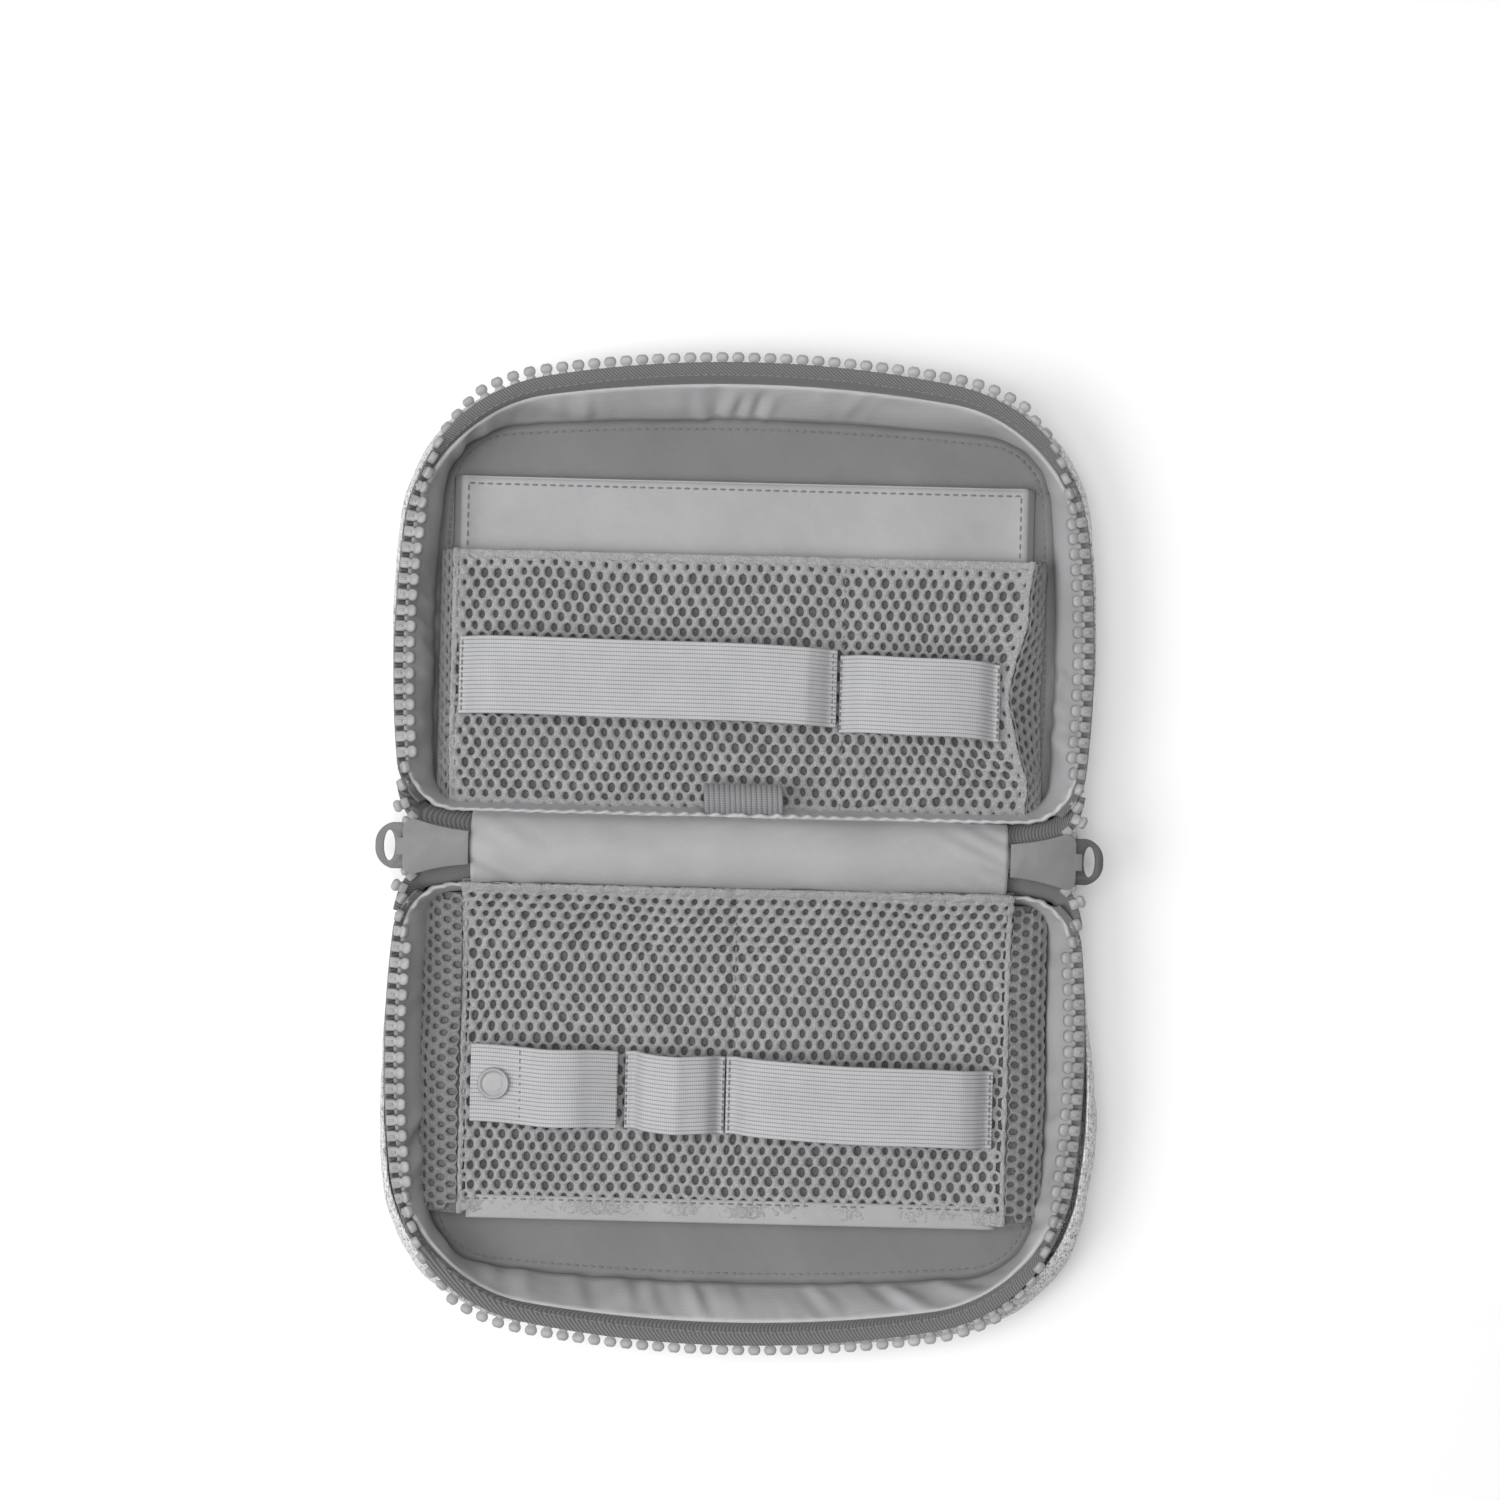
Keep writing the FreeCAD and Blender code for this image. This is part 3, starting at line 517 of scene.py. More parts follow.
class Shader:
    """A small builder for procedural materials on the object's own coordinates, in millimetres."""

    def __init__(self, name):
        self.material = bpy.data.materials.new(name)
        self.material.use_nodes = True
        self.tree = self.material.node_tree
        self.tree.nodes.clear()
        self.output = self.tree.nodes.new("ShaderNodeOutputMaterial")
        self.bsdf = self.tree.nodes.new("ShaderNodeBsdfPrincipled")
        self.tree.links.new(self.bsdf.outputs[0], self.output.inputs[0])
        coordinates = self.tree.nodes.new("ShaderNodeTexCoord")
        self.place = self.node("ShaderNodeVectorMath", {0: coordinates.outputs["Object"], 1: (1000, 1000, 1000)},
                               operation="MULTIPLY").outputs[0]

    def node(self, kind, inputs=None, **settings):
        made = self.tree.nodes.new(kind)
        for key, value in settings.items():
            setattr(made, key, value)
        for key, value in (inputs or {}).items():
            self.set(made.inputs[key], value)
        return made

    def set(self, socket, value):
        if isinstance(value, bpy.types.NodeSocket):
            self.tree.links.new(value, socket)
        else:
            socket.default_value = value

    def math(self, operation, a, b=0.0):
        return self.node("ShaderNodeMath", {0: a, 1: b}, operation=operation).outputs[0]

    def noise(self, size, detail=3.0, rough=0.55, stretch=(1, 1, 1)):
        place = self.node("ShaderNodeVectorMath", {0: self.place, 1: stretch}, operation="MULTIPLY").outputs[0]
        return self.node("ShaderNodeTexNoise",
                         {"Vector": place, "Scale": 1.0 / size, "Detail": detail, "Roughness": rough}).outputs[0]

    def wave(self, size, direction, distortion=0.0):
        return self.node("ShaderNodeTexWave",
                         {"Vector": self.place, "Scale": 0.314 / size, "Distortion": distortion},
                         bands_direction=direction).outputs[1]

    def ramp(self, value, stops):
        made = self.node("ShaderNodeValToRGB", {0: value})
        elements = made.color_ramp.elements
        while len(elements) < len(stops):
            elements.new(0.5)
        for element, (position, shade) in zip(elements, stops):
            element.position = position
            element.color = (shade, shade, shade * 1.01, 1)
        return made.outputs[0]

    def mix(self, factor, a, b, kind="MIX"):
        made = self.node("ShaderNodeMix", data_type="RGBA", blend_type=kind)
        self.set(made.inputs[0], factor)
        self.set(made.inputs[6], a)
        self.set(made.inputs[7], b)
        return made.outputs[2]

    def bump(self, height, depth, before=None):
        inputs = {"Height": height, "Distance": depth * MM, "Strength": 1.0}
        if before is not None:
            inputs["Normal"] = before
        return self.node("ShaderNodeBump", inputs).outputs[0]

    def finish(self, colour, roughness, normal, **constants):
        self.set(self.bsdf.inputs["Base Color"], colour)
        self.set(self.bsdf.inputs["Roughness"], roughness)
        if normal is not None:
            self.set(self.bsdf.inputs["Normal"], normal)
        for key, value in constants.items():
            self.bsdf.inputs[key.replace("_", " ")].default_value = value
        return self.material


def grey(value):
    return (value, value, value * 1.01, 1)


def heather_cloth():
    s = Shader("heather_cloth")
    yarn_x = s.noise(0.72, 4, 0.72, (0.35, 1, 1))
    yarn_y = s.noise(0.72, 4, 0.72, (1, 0.35, 1))
    blend = s.mix(s.noise(1.6, 2), s.ramp(yarn_x, [(0.40, 0.11), (0.47, 0.56), (0.58, 0.80)]),
                  s.ramp(yarn_y, [(0.41, 0.13), (0.48, 0.60), (0.6, 0.82)]))
    broad = s.ramp(s.noise(24, 2), [(0.3, 0.9), (0.7, 1.0)])
    weave = s.math("MULTIPLY", s.wave(0.7, "X"), s.wave(0.7, "Y"))
    normal = s.bump(s.math("ADD", weave, yarn_x), 0.22)
    return s.finish(s.mix(1.0, blend, broad, "MULTIPLY"), 0.92, normal, Sheen_Weight=0.25, Sheen_Roughness=0.5)


def smooth_lining(name, shade_low, shade_high, floor_shade_share=1.0):
    """Satin nylon. Below the walls its colour falls by the floor's share, which is painted shade for the floor lying
    in shadow deep in the tray.
    """
    s = Shader(name)
    threads = s.math("ADD", s.wave(0.34, "X"), s.wave(0.34, "Y"))
    height = s.node("ShaderNodeSeparateXYZ", {0: s.place}).outputs[2]
    # Painted shade: the colour darkens from the walls down to the tray's floor.
    floor_shade = s.node("ShaderNodeMapRange",
                   {0: height, 1: FLOOR_Z + 0.6, 2: FLOOR_Z + 4.0, 3: floor_shade_share, 4: 1.0}).outputs[0]
    shade = s.ramp(s.noise(30, 3), [(0.25, shade_low), (0.75, shade_high)])
    shade = s.mix(1.0, shade, s.node("ShaderNodeCombineColor", {0: floor_shade, 1: floor_shade, 2: floor_shade}).outputs[0], "MULTIPLY")
    fine = s.ramp(s.noise(0.8, 3), [(0.2, 0.93), (0.8, 1.0)])
    crumple = s.bump(s.noise(14, 2, 0.4), 0.5)
    normal = s.bump(threads, 0.03, crumple)
    rough = s.node("ShaderNodeMapRange", {0: s.noise(6, 2), 3: 0.42, 4: 0.56}).outputs[0]
    return s.finish(s.mix(1.0, shade, fine, "MULTIPLY"), rough, normal, Sheen_Weight=0.12, Sheen_Roughness=0.4)


def knit(name, light, dark):
    """Brushed knit yarn, as in the faces of spacer mesh."""
    s = Shader(name)
    loops = s.node("ShaderNodeTexVoronoi", {"Vector": s.place, "Scale": 1.9, "Randomness": 0.7}).outputs[0]
    fibres = s.noise(0.3, 4, 0.7)
    shade = s.ramp(s.math("ADD", s.math("MULTIPLY", loops, 0.5), s.math("MULTIPLY", fibres, 0.7)),
                   [(0.3, dark), (0.75, light)])
    broad = s.ramp(s.noise(16, 2), [(0.25, 0.86), (0.75, 1.0)])
    normal = s.bump(s.math("ADD", loops, fibres), 0.28)
    return s.finish(s.mix(1.0, shade, broad, "MULTIPLY"), 0.88, normal, Sheen_Weight=0.35, Sheen_Roughness=0.45)


def elastic_weave(name, shade_low, shade_high):
    """Elastic with painted shade in the grooves between its ribs and fine picks across them. U is in mm, V counts
    ribs.
    """
    s = Shader(name)
    parts = s.node("ShaderNodeSeparateXYZ", {0: s.node("ShaderNodeUVMap", uv_map="weave").outputs[0]})
    groove = s.math("ABSOLUTE", s.math("SINE", s.math("MULTIPLY", parts.outputs[1], math.pi)))
    picks = s.math("ABSOLUTE", s.math("SINE", s.math("MULTIPLY", parts.outputs[0], 4.4)))
    fibres = s.noise(0.28, 3, 0.6)
    shade = s.ramp(s.math("ADD", s.math("MULTIPLY", picks, 0.4), s.math("MULTIPLY", fibres, 0.6)),
                   [(0.2, shade_low), (0.8, shade_high)])
    # Painted shade in the grooves between the ribs.
    dark = s.ramp(groove, [(0.0, 0.46), (0.55, 1.0)])
    broad = s.ramp(s.noise(12, 2), [(0.3, 0.93), (0.7, 1.0)])
    normal = s.bump(s.math("ADD", picks, fibres), 0.09)
    ribbed = s.mix(1.0, s.mix(1.0, shade, dark, "MULTIPLY"), broad, "MULTIPLY")
    return s.finish(ribbed, 0.78, normal, Sheen_Weight=0.2, Sheen_Roughness=0.5)


def zip_weave():
    s = Shader("zip_weave")
    slant = s.node("ShaderNodeTexWave", {"Vector": s.place, "Scale": 0.5, "Distortion": 0.8},
                   bands_direction="DIAGONAL").outputs[1]
    fibres = s.noise(0.35, 3, 0.6)
    shade = s.ramp(s.math("ADD", s.math("MULTIPLY", slant, 0.5), s.math("MULTIPLY", fibres, 0.5)),
                   [(0.25, 0.085), (0.8, 0.185)])
    return s.finish(shade, 0.85, s.bump(s.math("ADD", slant, fibres), 0.16), Sheen_Weight=0.2)


def moulded_teeth(name, shade_low, shade_high):
    s = Shader(name)
    shade = s.ramp(s.noise(5, 2), [(0.3, shade_low), (0.7, shade_high)])
    wear = s.ramp(s.noise(0.9, 3), [(0.3, 0.9), (0.7, 1.0)])
    return s.finish(s.mix(1.0, shade, wear, "MULTIPLY"), 0.4, s.bump(s.noise(0.7, 2), 0.03), Specular_IOR_Level=0.4)


def lacquered_metal(name, shade):
    s = Shader(name)
    speckle = s.ramp(s.noise(0.22, 2), [(0.3, shade * 0.94), (0.7, shade * 1.05)])
    rubbed = s.ramp(s.noise(9, 3), [(0.35, 0.93), (0.75, 1.04)])
    rough = s.node("ShaderNodeMapRange", {0: s.noise(3, 3), 3: 0.40, 4: 0.55}).outputs[0]
    return s.finish(s.mix(1.0, speckle, rubbed, "MULTIPLY"), rough, s.bump(s.noise(0.3, 2), 0.012), Metallic=0.15)


def sewing_thread():
    s = Shader("sewing_thread")
    twist = s.node("ShaderNodeTexWave", {"Vector": s.place, "Scale": 0.9}, bands_direction="DIAGONAL").outputs[1]
    return s.finish(s.ramp(twist, [(0.2, 0.11), (0.8, 0.2)]), 0.6, s.bump(twist, 0.05), Sheen_Weight=0.2)


def foam_skin():
    s = Shader("foam_skin")
    pores = s.node("ShaderNodeTexVoronoi", {"Vector": s.place, "Scale": 1.4}).outputs[0]
    return s.finish(s.ramp(pores, [(0.0, 0.3), (0.6, 0.5)]), 0.95, s.bump(pores, 0.2))


CLOTH = heather_cloth()
LINING = smooth_lining("smooth_lining", 0.29, 0.36)
# Tray lining: the same satin as the other lining, painted lighter on its walls for the sheen they catch, with painted
# shade on its floor.
TRAY_LINING_PAINTED_LIGHT = smooth_lining("tray_lining_painted_light", 0.38, 0.46, 0.36)
MESH = knit("mesh_knit", 0.43, 0.20)
# A darker copy of the mesh knit: painted shade for the steep gussets and the pocket's end in the tray's deep corners.
SHADED_MESH_SIDE = knit("mesh_knit_side_painted_shade", 0.28, 0.13)
# The spacer knit's back face, coloured darker as painted shade seen through the holes.
SHADED_MESH_BACK = knit("mesh_back_painted_shade", 0.20, 0.06)
ELASTIC = elastic_weave("elastic_weave", 0.34, 0.50)
# A darker copy of the elastic for the pen loop: painted shade where it lies in shadow.
SHADED_PEN_ELASTIC = elastic_weave("pen_elastic_weave_painted_shade", 0.16, 0.26)
TAPE = zip_weave()
TEETH = moulded_teeth("moulded_teeth", 0.27, 0.36)
CHAIN_END = moulded_teeth("moulded_chain_end", 0.06, 0.10)
METAL = lacquered_metal("lacquered_metal", 0.145)
METAL_LIGHT = lacquered_metal("lacquered_metal_light", 0.115)
METAL_DARK = lacquered_metal("lacquered_metal_dark", 0.06)
SNAP_METAL = lacquered_metal("snap_lacquer", 0.30)
THREAD = sewing_thread()
FOAM = foam_skin()


# ---------------------------------------------------------------- the two trays

def shell(name, half):
    """Outer cloth: floor panel and gusset, fuller low down at the base's far corners."""
    profile = [
        (BELT, 5.0, 0.7), (BELT, 1.6, 2.2), (BELT, 0.4, BELT_Z), (rim_dims(12), -0.2, 12.0),
        (rim_dims(18), 0.2, 18.0), (rim_dims(SHELL_TOP), 0.6, SHELL_TOP), (rim_dims(TAPE_TOP), 1.0, TAPE_TOP - 0.3),
    ]
    wall = level_rings(profile, half, 5)
    z = wall[..., 2]
    far = smooth_step((np.abs(wall[..., 1]) - 30) / 60)
    low = np.sin(np.clip((z - 1) / (SHELL_TOP + 1.5), 0, 1) ** 1.9 * math.pi)
    sided = 5.2 + 1.6 * wall[..., 0] / 100
    full = (sided if half == BASE else 2.4) * far * low
    around = np.broadcast_to(THETA, z.shape)
    folds = 0.45 * ripple(around * 95, z, 30, 21 + half) + 0.22 * ripple(around * 95, z * 2, 11, 23 + half)
    wall = wall + outward(wall, half) * (full + folds * low)[..., None]
    beside = 1 - smooth_step((np.abs(wall[-1, :, 1]) - 16) / 12)
    wall[..., 2] -= 4.2 * beside * (z / TAPE_TOP) ** 2
    floor = floor_rings(BELT, 5.0, 0.7, half)
    floor[..., 2] += 0.12 * ripple(floor[..., 0], floor[..., 1], 26, 25 + half)
    piece = sheet_piece(f"{name}_shell", np.concatenate([floor, wall]), 1.2, CLOTH, f"{name}_half", True, True)
    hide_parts(f"{name}_outer_panel", f"{name}_outer_gusset", f"{name}_spine_side")
    seam = ring(BELT, 0.3, 3.4, half)
    stitching(f"{name}_shell_seam", [(looped(seam), UP)], THREAD, f"{name}_half")


def lining_surface(half):
    """The lining's floor and walls, with soft puckers up the walls and a dent where it meets the tape."""
    top = 22.6
    foot = ring(BELT, 4.4, FLOOR_Z + 0.1, half)
    brim = ring(rim_dims(top), 3.5, top, half)
    brim -= outward(brim, half) * (1.5 * smooth_step((np.abs(brim[:, 1]) - 100) / 35))[:, None]
    t = np.linspace(0, 1, 26)[:, None, None]
    wall = foot * (1 - t) + brim * t
    rise = np.broadcast_to(t[..., 0], wall.shape[:2])
    around = np.broadcast_to(THETA * 100, rise.shape)
    soft = 0.8 * ripple(around, rise * 14, 34, 31 + half)
    gathered = smooth_step(0.5 + ripple(around, 0 * rise, 46, 35 + half))
    pucker = 1.35 * ripple(around + 5 * rise, rise * 5, 9, 33 + half) * gathered
    flat = 0.25 + 0.75 * smooth_step((np.abs(brim[:, 1]) - 14) / 22)
    fold = (soft + pucker + 0.9) * np.sin(rise * math.pi) ** 0.8 * flat
    wall = wall - outward(wall, half) * fold[..., None]
    run = np.cumsum(np.linalg.norm(brim - np.roll(brim, 1, axis=0), axis=1))
    near = 1 - smooth_step((np.abs(brim[:, 1]) - 20) / 18)
    drift = 1.4 * ripple(run, 0 * run, 30, 43)
    scallop = near * np.sin(2 * math.pi * run / 5.2 + drift) + 0.35 * ripple(around[0], 0 * near, 6, 39 + half)
    wall = wall - outward(wall, half) * (0.4 * scallop * rise**8)[..., None]
    wall[..., 2] += 0.4 * scallop * rise**8
    lip = [wall[-1] + outward(wall[-1], half) * go + (0, 0, lift) for go, lift in
           ((0.45, 0.2), (0.95, -0.1), (1.2, -0.8), (1.3, -1.8))]
    wall = np.concatenate([wall, np.stack(lip)])
    floor = floor_rings(BELT, 4.4, FLOOR_Z + 0.1, half)
    floor[..., 2] += 0.16 * (1 + ripple(floor[..., 0], floor[..., 1], 30, 37 + half))
    return np.concatenate([floor, wall])


def lining(name, half):
    piece = sheet_piece(f"{name}_lining", lining_surface(half), 0.5, TRAY_LINING_PAINTED_LIGHT, f"{name}_half", True, True)
    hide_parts(f"{name}_floor_lining", f"{name}_wall_lining")
    inner = ring(BELT, 7.4, FLOOR_Z + 0.65, half)
    lines = [(looped(inner), UP)]
    if half == LID:
        for x0, x1 in ((-99, -94), (93, 99)):
            lines.append(([(x0, 119.0, FLOOR_Z + 0.6), (x1, 119.0, FLOOR_Z + 0.6)], (0, 0, 1)))
    stitching(f"{name}_floor_stitches", lines, THREAD, f"{name}_half", pitch=2.7, length=1.9)


def padding(name, half):
    """The foam inside the floor, a slab with soft edges between the outer cloth and the lining."""
    low, high = 1.7, 3.9
    profile = [(BELT, 6.0, low), (BELT, 4.4, low + 0.5), (BELT, 4.0, (low + high) / 2), (BELT, 4.6, high - 0.3),
               (BELT, 6.2, high)]
    edge = level_rings(profile, half, 3)
    under = np.stack([ring(BELT, 6.0, low, half, scale) for scale in np.linspace(0.05, 0.96, 8)])
    over = np.stack([ring(BELT, 6.2, high, half, scale) for scale in np.linspace(0.96, 0.05, 8)])
    over[..., 2] += 0.1 * ripple(over[..., 0], over[..., 1], 25, 41)
    grid = np.concatenate([under, edge, over])
    rows = len(grid)
    faces = strip_faces(rows, COLUMNS, True)
    faces += [list(range(COLUMNS)), list(range((rows - 1) * COLUMNS, rows * COLUMNS))]
    piece = make(f"{name}_padding", grid.reshape(-1, 3), faces, FOAM, f"{name}_half")
    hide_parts(f"{name}_foam_pad")


def tape(name, half):
    """Zip tape, sewn in between shell and lining and up to the teeth, open where the spine crosses."""
    profile = [(rim_dims(15.6), 1.7, 15.6), (rim_dims(19.4), 2.0, 19.4), (rim_dims(22.2), 2.3, 22.6),
               (rim_dims(24.5), 0.9, 25.5)]
    rows = level_rings(profile, half, 5)
    over = [(rim_dims(15.6), 2.0, 15.6), (rim_dims(23.5), 4.0, 23.6), (rim_dims(25.5), 2.8, 26.3),
            (rim_dims(25.5), -0.7, 27.1)]
    far = smooth_step((np.abs(rows[-1, :, 1]) - 112) / 30)[None, :, None]
    rows = rows * (1 - far) + level_rings(over, half, 5) * far
    keep = np.abs(rows[-1, :, 1]) > TEETH_FROM - 3.0
    order = np.roll(np.arange(COLUMNS), -int(np.argmin(keep)))
    order = order[keep[order]]
    piece = sheet_piece(f"{name}_tape", rows[:, order], 0.7, TAPE, f"{name}_half")
    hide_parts(f"{name}_zip_tape")
    line = rows[9, order]
    stitching(f"{name}_tape_stitches", [(line + (0, 0, 0.5), (0, 0, 1))], THREAD, f"{name}_half", pitch=2.6)


# ---------------------------------------------------------------- zip

def tooth_lean(reach, facing):
    """Degrees from upright, outward positive, by the edge that the tooth is on."""
    around = math.degrees(math.asin(min(1.0, max(0.0, facing))))
    lean = LEAN_SIDE + (LEAN_FAR - LEAN_SIDE) * float(smooth_step((around - 8.0) / 52.0))
    near = float(smooth_step((TEETH_TURN - reach) / (TEETH_TURN - TEETH_FROM)))
    return lean + (LEAN_END - lean) * near


def tooth_mesh(root, along, out, lean, length, bars=(-1, 1)):
    """A moulded tooth: a grooved body that grips the tape, a waist and a round head."""
    a = math.radians(lean)
    point = np.array([0, 0, math.cos(a)]) + out * math.sin(a)
    across = np.cross(along, point)
    k = length / TOOTH_LENGTH
    side = [(1.5, -0.5), (1.72, 0.2), (1.72, 2.3), (1.5, 2.8), (1.26, 3.15), (1.26, 3.5), (1.76, 3.95), (2.0, 4.8),
            (1.7, 5.75), (0.95, 6.35)]
    loop = np.array(side + [(-u, v) for u, v in reversed(side)]) * (1, k)
    middle = loop.mean(axis=0)
    layers = [(0.80, -1.2), (0.96, -0.95), (1.0, -0.5), (1.0, 0.5), (0.96, 0.95), (0.80, 1.2)]
    points, n = [], len(loop)
    for shrink, w in layers:
        flat = middle + (loop - middle) * shrink
        points.append(root + flat[:, :1] * along + flat[:, 1:] * point + w * across)
    faces = []
    for layer in range(len(layers) - 1):
        for i in range(n):
            j = (i + 1) % n
            faces.append((layer * n + i, layer * n + j, (layer + 1) * n + j, (layer + 1) * n + i))
    half_n = n // 2
    for first in (0, (len(layers) - 1) * n):
        for i in range(half_n - 1):
            faces.append((first + i, first + i + 1, first + n - 2 - i, first + n - 1 - i))
    for sign in bars:
        start = sum(len(p) for p in points)
        rim = [(-0.5, 0.5), (0.5, 0.5), (0.5, 2.5), (-0.5, 2.5)]
        bar = [root + along * u + point * v * k + across * sign * h for h in (1.0, 1.55) for u, v in
               (rim if h == 1.0 else [(u * 0.7, 0.7 + (v - 0.5) * 0.8) for u, v in rim])]
        points.append(np.array(bar))
        faces += [(start + 4, start + 5, start + 6, start + 7)]
        faces += [(start + i, start + (i + 1) % 4, start + 4 + (i + 1) % 4, start + 4 + i) for i in range(4)]
        faces += [(start + 3, start + 2, start + 1, start)]
    return np.concatenate(points), faces


def teeth_along(line, name, body):
    """Teeth at every point of a line of (place, along, out, lean, length)."""
    points, faces, count = [], [], 0
    for place in line:
        more, more_faces = tooth_mesh(*place)
        faces += [tuple(i + count for i in face) for face in more_faces]
        points.append(more)
        count += len(more)
    return make(name, np.concatenate(points), faces, TEETH, body)


def tooth_places(half, reach_from):
    """Places of the teeth round one rim. The lid's stand half a pitch along from the base's."""
    rim = open_outline(rim_dims(TAPE_TOP), 1.2)
    fine = even(rim, int(run_length(rim) / TOOTH_PITCH * 8) + 1)
    places = []
    for i in range(2 if half == BASE else 6, len(fine) - 2, 8):
        if fine[i, 1] < reach_from:
            continue
        along = fine[i + 1] - fine[i - 1]
        along = np.array([along[0], half * along[1], 0.0]) / np.linalg.norm(along)
        out = np.array([along[1], -along[0], 0.0])
        if out[0] * fine[i, 0] + out[1] * half * (fine[i, 1] - WIDEST) < 0:
            out = -out
        lean = tooth_lean(fine[i, 1], out[1] * half)
        a = math.radians(lean)
        rise = TOOTH_THICK / 2 * abs(math.sin(a))
        length = min(TOOTH_LENGTH, (HINGE_Z - 0.1 - TAPE_TOP - 2 * rise) / math.cos(a))
        length = max(length, 4.6)
        root_z = HINGE_Z - 0.15 - rise - length * math.cos(a)
        places.append((np.array([fine[i, 0], half * fine[i, 1], root_z]), along, out, lean, length))
    return places


def teeth(name, half):
    piece = teeth_along(tooth_places(half, TEETH_FROM), f"{name}_teeth", f"{name}_half")
    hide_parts(f"{name}_zip_teeth")


def across_hinge(piece):
    """Bakes the piece's placement into its mesh."""
    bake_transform(piece)


def spine_section(profile, count):
    """Cross-section of the spine as (y, z), mirrored about the hinge line."""
    left = [(-y, z) for y, z in profile]
    return spline([*left, *[(y, z) for y, z in reversed(profile[:-1])]], count)


def spine():
    """Lining and outer cloth that cross the hinge line."""
    low, high = box_mm("spine_panel")
    x = np.linspace(low[0] - 0.6, high[0] + 0.6, 150)
    over = [(12.2, 17.5), (11.4, 22.0), (9.4, 26.0), (5.4, 28.3), (0.0, 29.4)]
    under = [(8.9, 17.5), (8.3, 22.0), (6.6, 25.0), (3.6, 26.6), (0.0, 27.2)]
    layers = [
        ("spine_lining_sheet", "spine_lining", over, 0.5, LINING, "lining"),
        ("spine_cloth_sheet", "spine_panel", under, 1.0, CLOTH, "shell_cloth"),
    ]
    for name, node, profile, thickness, material, slot in layers:
        section = spine_section(profile, 61)
        grid = np.empty((len(section), len(x), 3))
        grid[..., 0] = x
        grid[..., 1:] = section[:, None]
        up = normals(grid, False)
        up *= np.sign(up[30, 75, 2])
        ends = smooth_step((np.abs(grid[..., 0]) - 55) / 30)
        soft = 0.25 * ripple(grid[..., 0], grid[..., 1] * 1.5, 40, 51)
        folds = 0.42 * ripple(grid[..., 0] + 1.8 * grid[..., 1], grid[..., 1] * 0.6, 11, 53) * ends
        grid = grid + up * (soft + folds)[..., None]
        piece = sheet_piece(name, grid, thickness, material)
        across_hinge(piece)
        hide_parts(node)


def corners():
    """Tape and teeth that come out of each slider and run on to both rims."""
    for name, sign in SIDES.items():
        for half_name, half in HALVES.items():
            edge = spline([(84.0, 4.3, 25.0), (92.0, 5.2, 25.2), (99.0, 6.2, 25.3), (104.6, 8.2, 25.3),
                           (107.6, 12.0, 25.2), (109.2, 16.2, 25.2), (110.2, 20.5, 25.3)], 60) * (sign, half, 1)
            ahead = np.gradient(edge, axis=0)
            inward = np.cross(ahead, (0, 0, 1.0)) * -sign * half
            inward /= np.linalg.norm(inward, axis=1, keepdims=True)
            if (inward[:, 1] * half).mean() < 0:
                inward = -inward
            rows = [edge + inward * t * 6.6 + np.array([0, 0, -7.4 * t**1.8]) for t in np.linspace(0, 1, 12)]
            piece = sheet_piece(f"{name}_{half_name}_corner_tape", np.stack(rows), 0.7, TAPE)
            across_hinge(piece)
            places = []
            for target in (8.6, 12.9):
                i = int(np.argmin(np.abs(edge[:, 1] * half - target)))
                along = edge[i + 1] - edge[i - 1]
                along[2] = 0
                along /= np.linalg.norm(along)
                out = -inward[i] * (1, 1, 0)
                out /= np.linalg.norm(out)
                places.append((edge[i] - out * 1.8, along, out, 64.0, 4.7, ()))
            chain = teeth_along(places, f"{name}_{half_name}_corner_teeth", None)
            across_hinge(chain)


def rounded_copy(name, node, material, body, bevel):
    """A CAD node's shape with its sharp edges rounded."""
    source = next(o for o in bpy.data.objects if o.get("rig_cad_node") == node or o.name == node)
    mesh = source.data.copy()
    mesh.materials.clear()
    mesh.materials.append(material)
    work = bmesh.new()
    work.from_mesh(mesh)
    bmesh.ops.remove_doubles(work, verts=work.verts, dist=1e-6)
    bmesh.ops.dissolve_limit(work, angle_limit=math.radians(4), verts=work.verts, edges=work.edges)
    sharp = [e for e in work.edges if len(e.link_faces) == 2 and e.calc_face_angle(0) > math.radians(35)]
    bmesh.ops.bevel(work, geom=sharp, offset=bevel * MM, offset_type="OFFSET", segments=3, profile=0.5,
                    affect="EDGES", clamp_overlap=True)
    bmesh.ops.recalc_face_normals(work, faces=work.faces)
    work.to_mesh(mesh)
    work.free()
    piece = bpy.data.objects.new(name, mesh)
    bpy.context.scene.collection.objects.link(piece)
    mesh.polygons.foreach_set("use_smooth", [True] * len(mesh.polygons))
    mesh.set_sharp_from_angle(angle=math.radians(32))
    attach(piece, body)
    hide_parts(node)
    return piece


def sliders():
    for name in SIDES:
        rounded_copy(f"{name}_slider_body", f"{name}_slider", METAL, f"{name}_slider", 0.35)
        rounded_copy(f"{name}_bridge", f"{name}_slider_bridge", METAL, f"{name}_slider", 0.3)
        shade = METAL_LIGHT if name == "left" else METAL_DARK
        rounded_copy(f"{name}_pull_tab", f"{name}_pull", shade, f"{name}_pull", 0.45)
        rounded_copy(f"{name}_chain_end", f"{name}_zip_end", CHAIN_END, "spine", 0.2)


# ---------------------------------------------------------------- pockets

def panel_grid(x0, x1, path, columns, rows):
    """A panel whose section (y, z) runs along path, spanning x0 to x1."""
    section = spline(path, rows)
    grid = np.empty((rows, columns, 3))
    grid[..., 0] = np.linspace(x0, x1, columns)
    grid[..., 1:] = section[:, None]
    return grid, run_length(section)


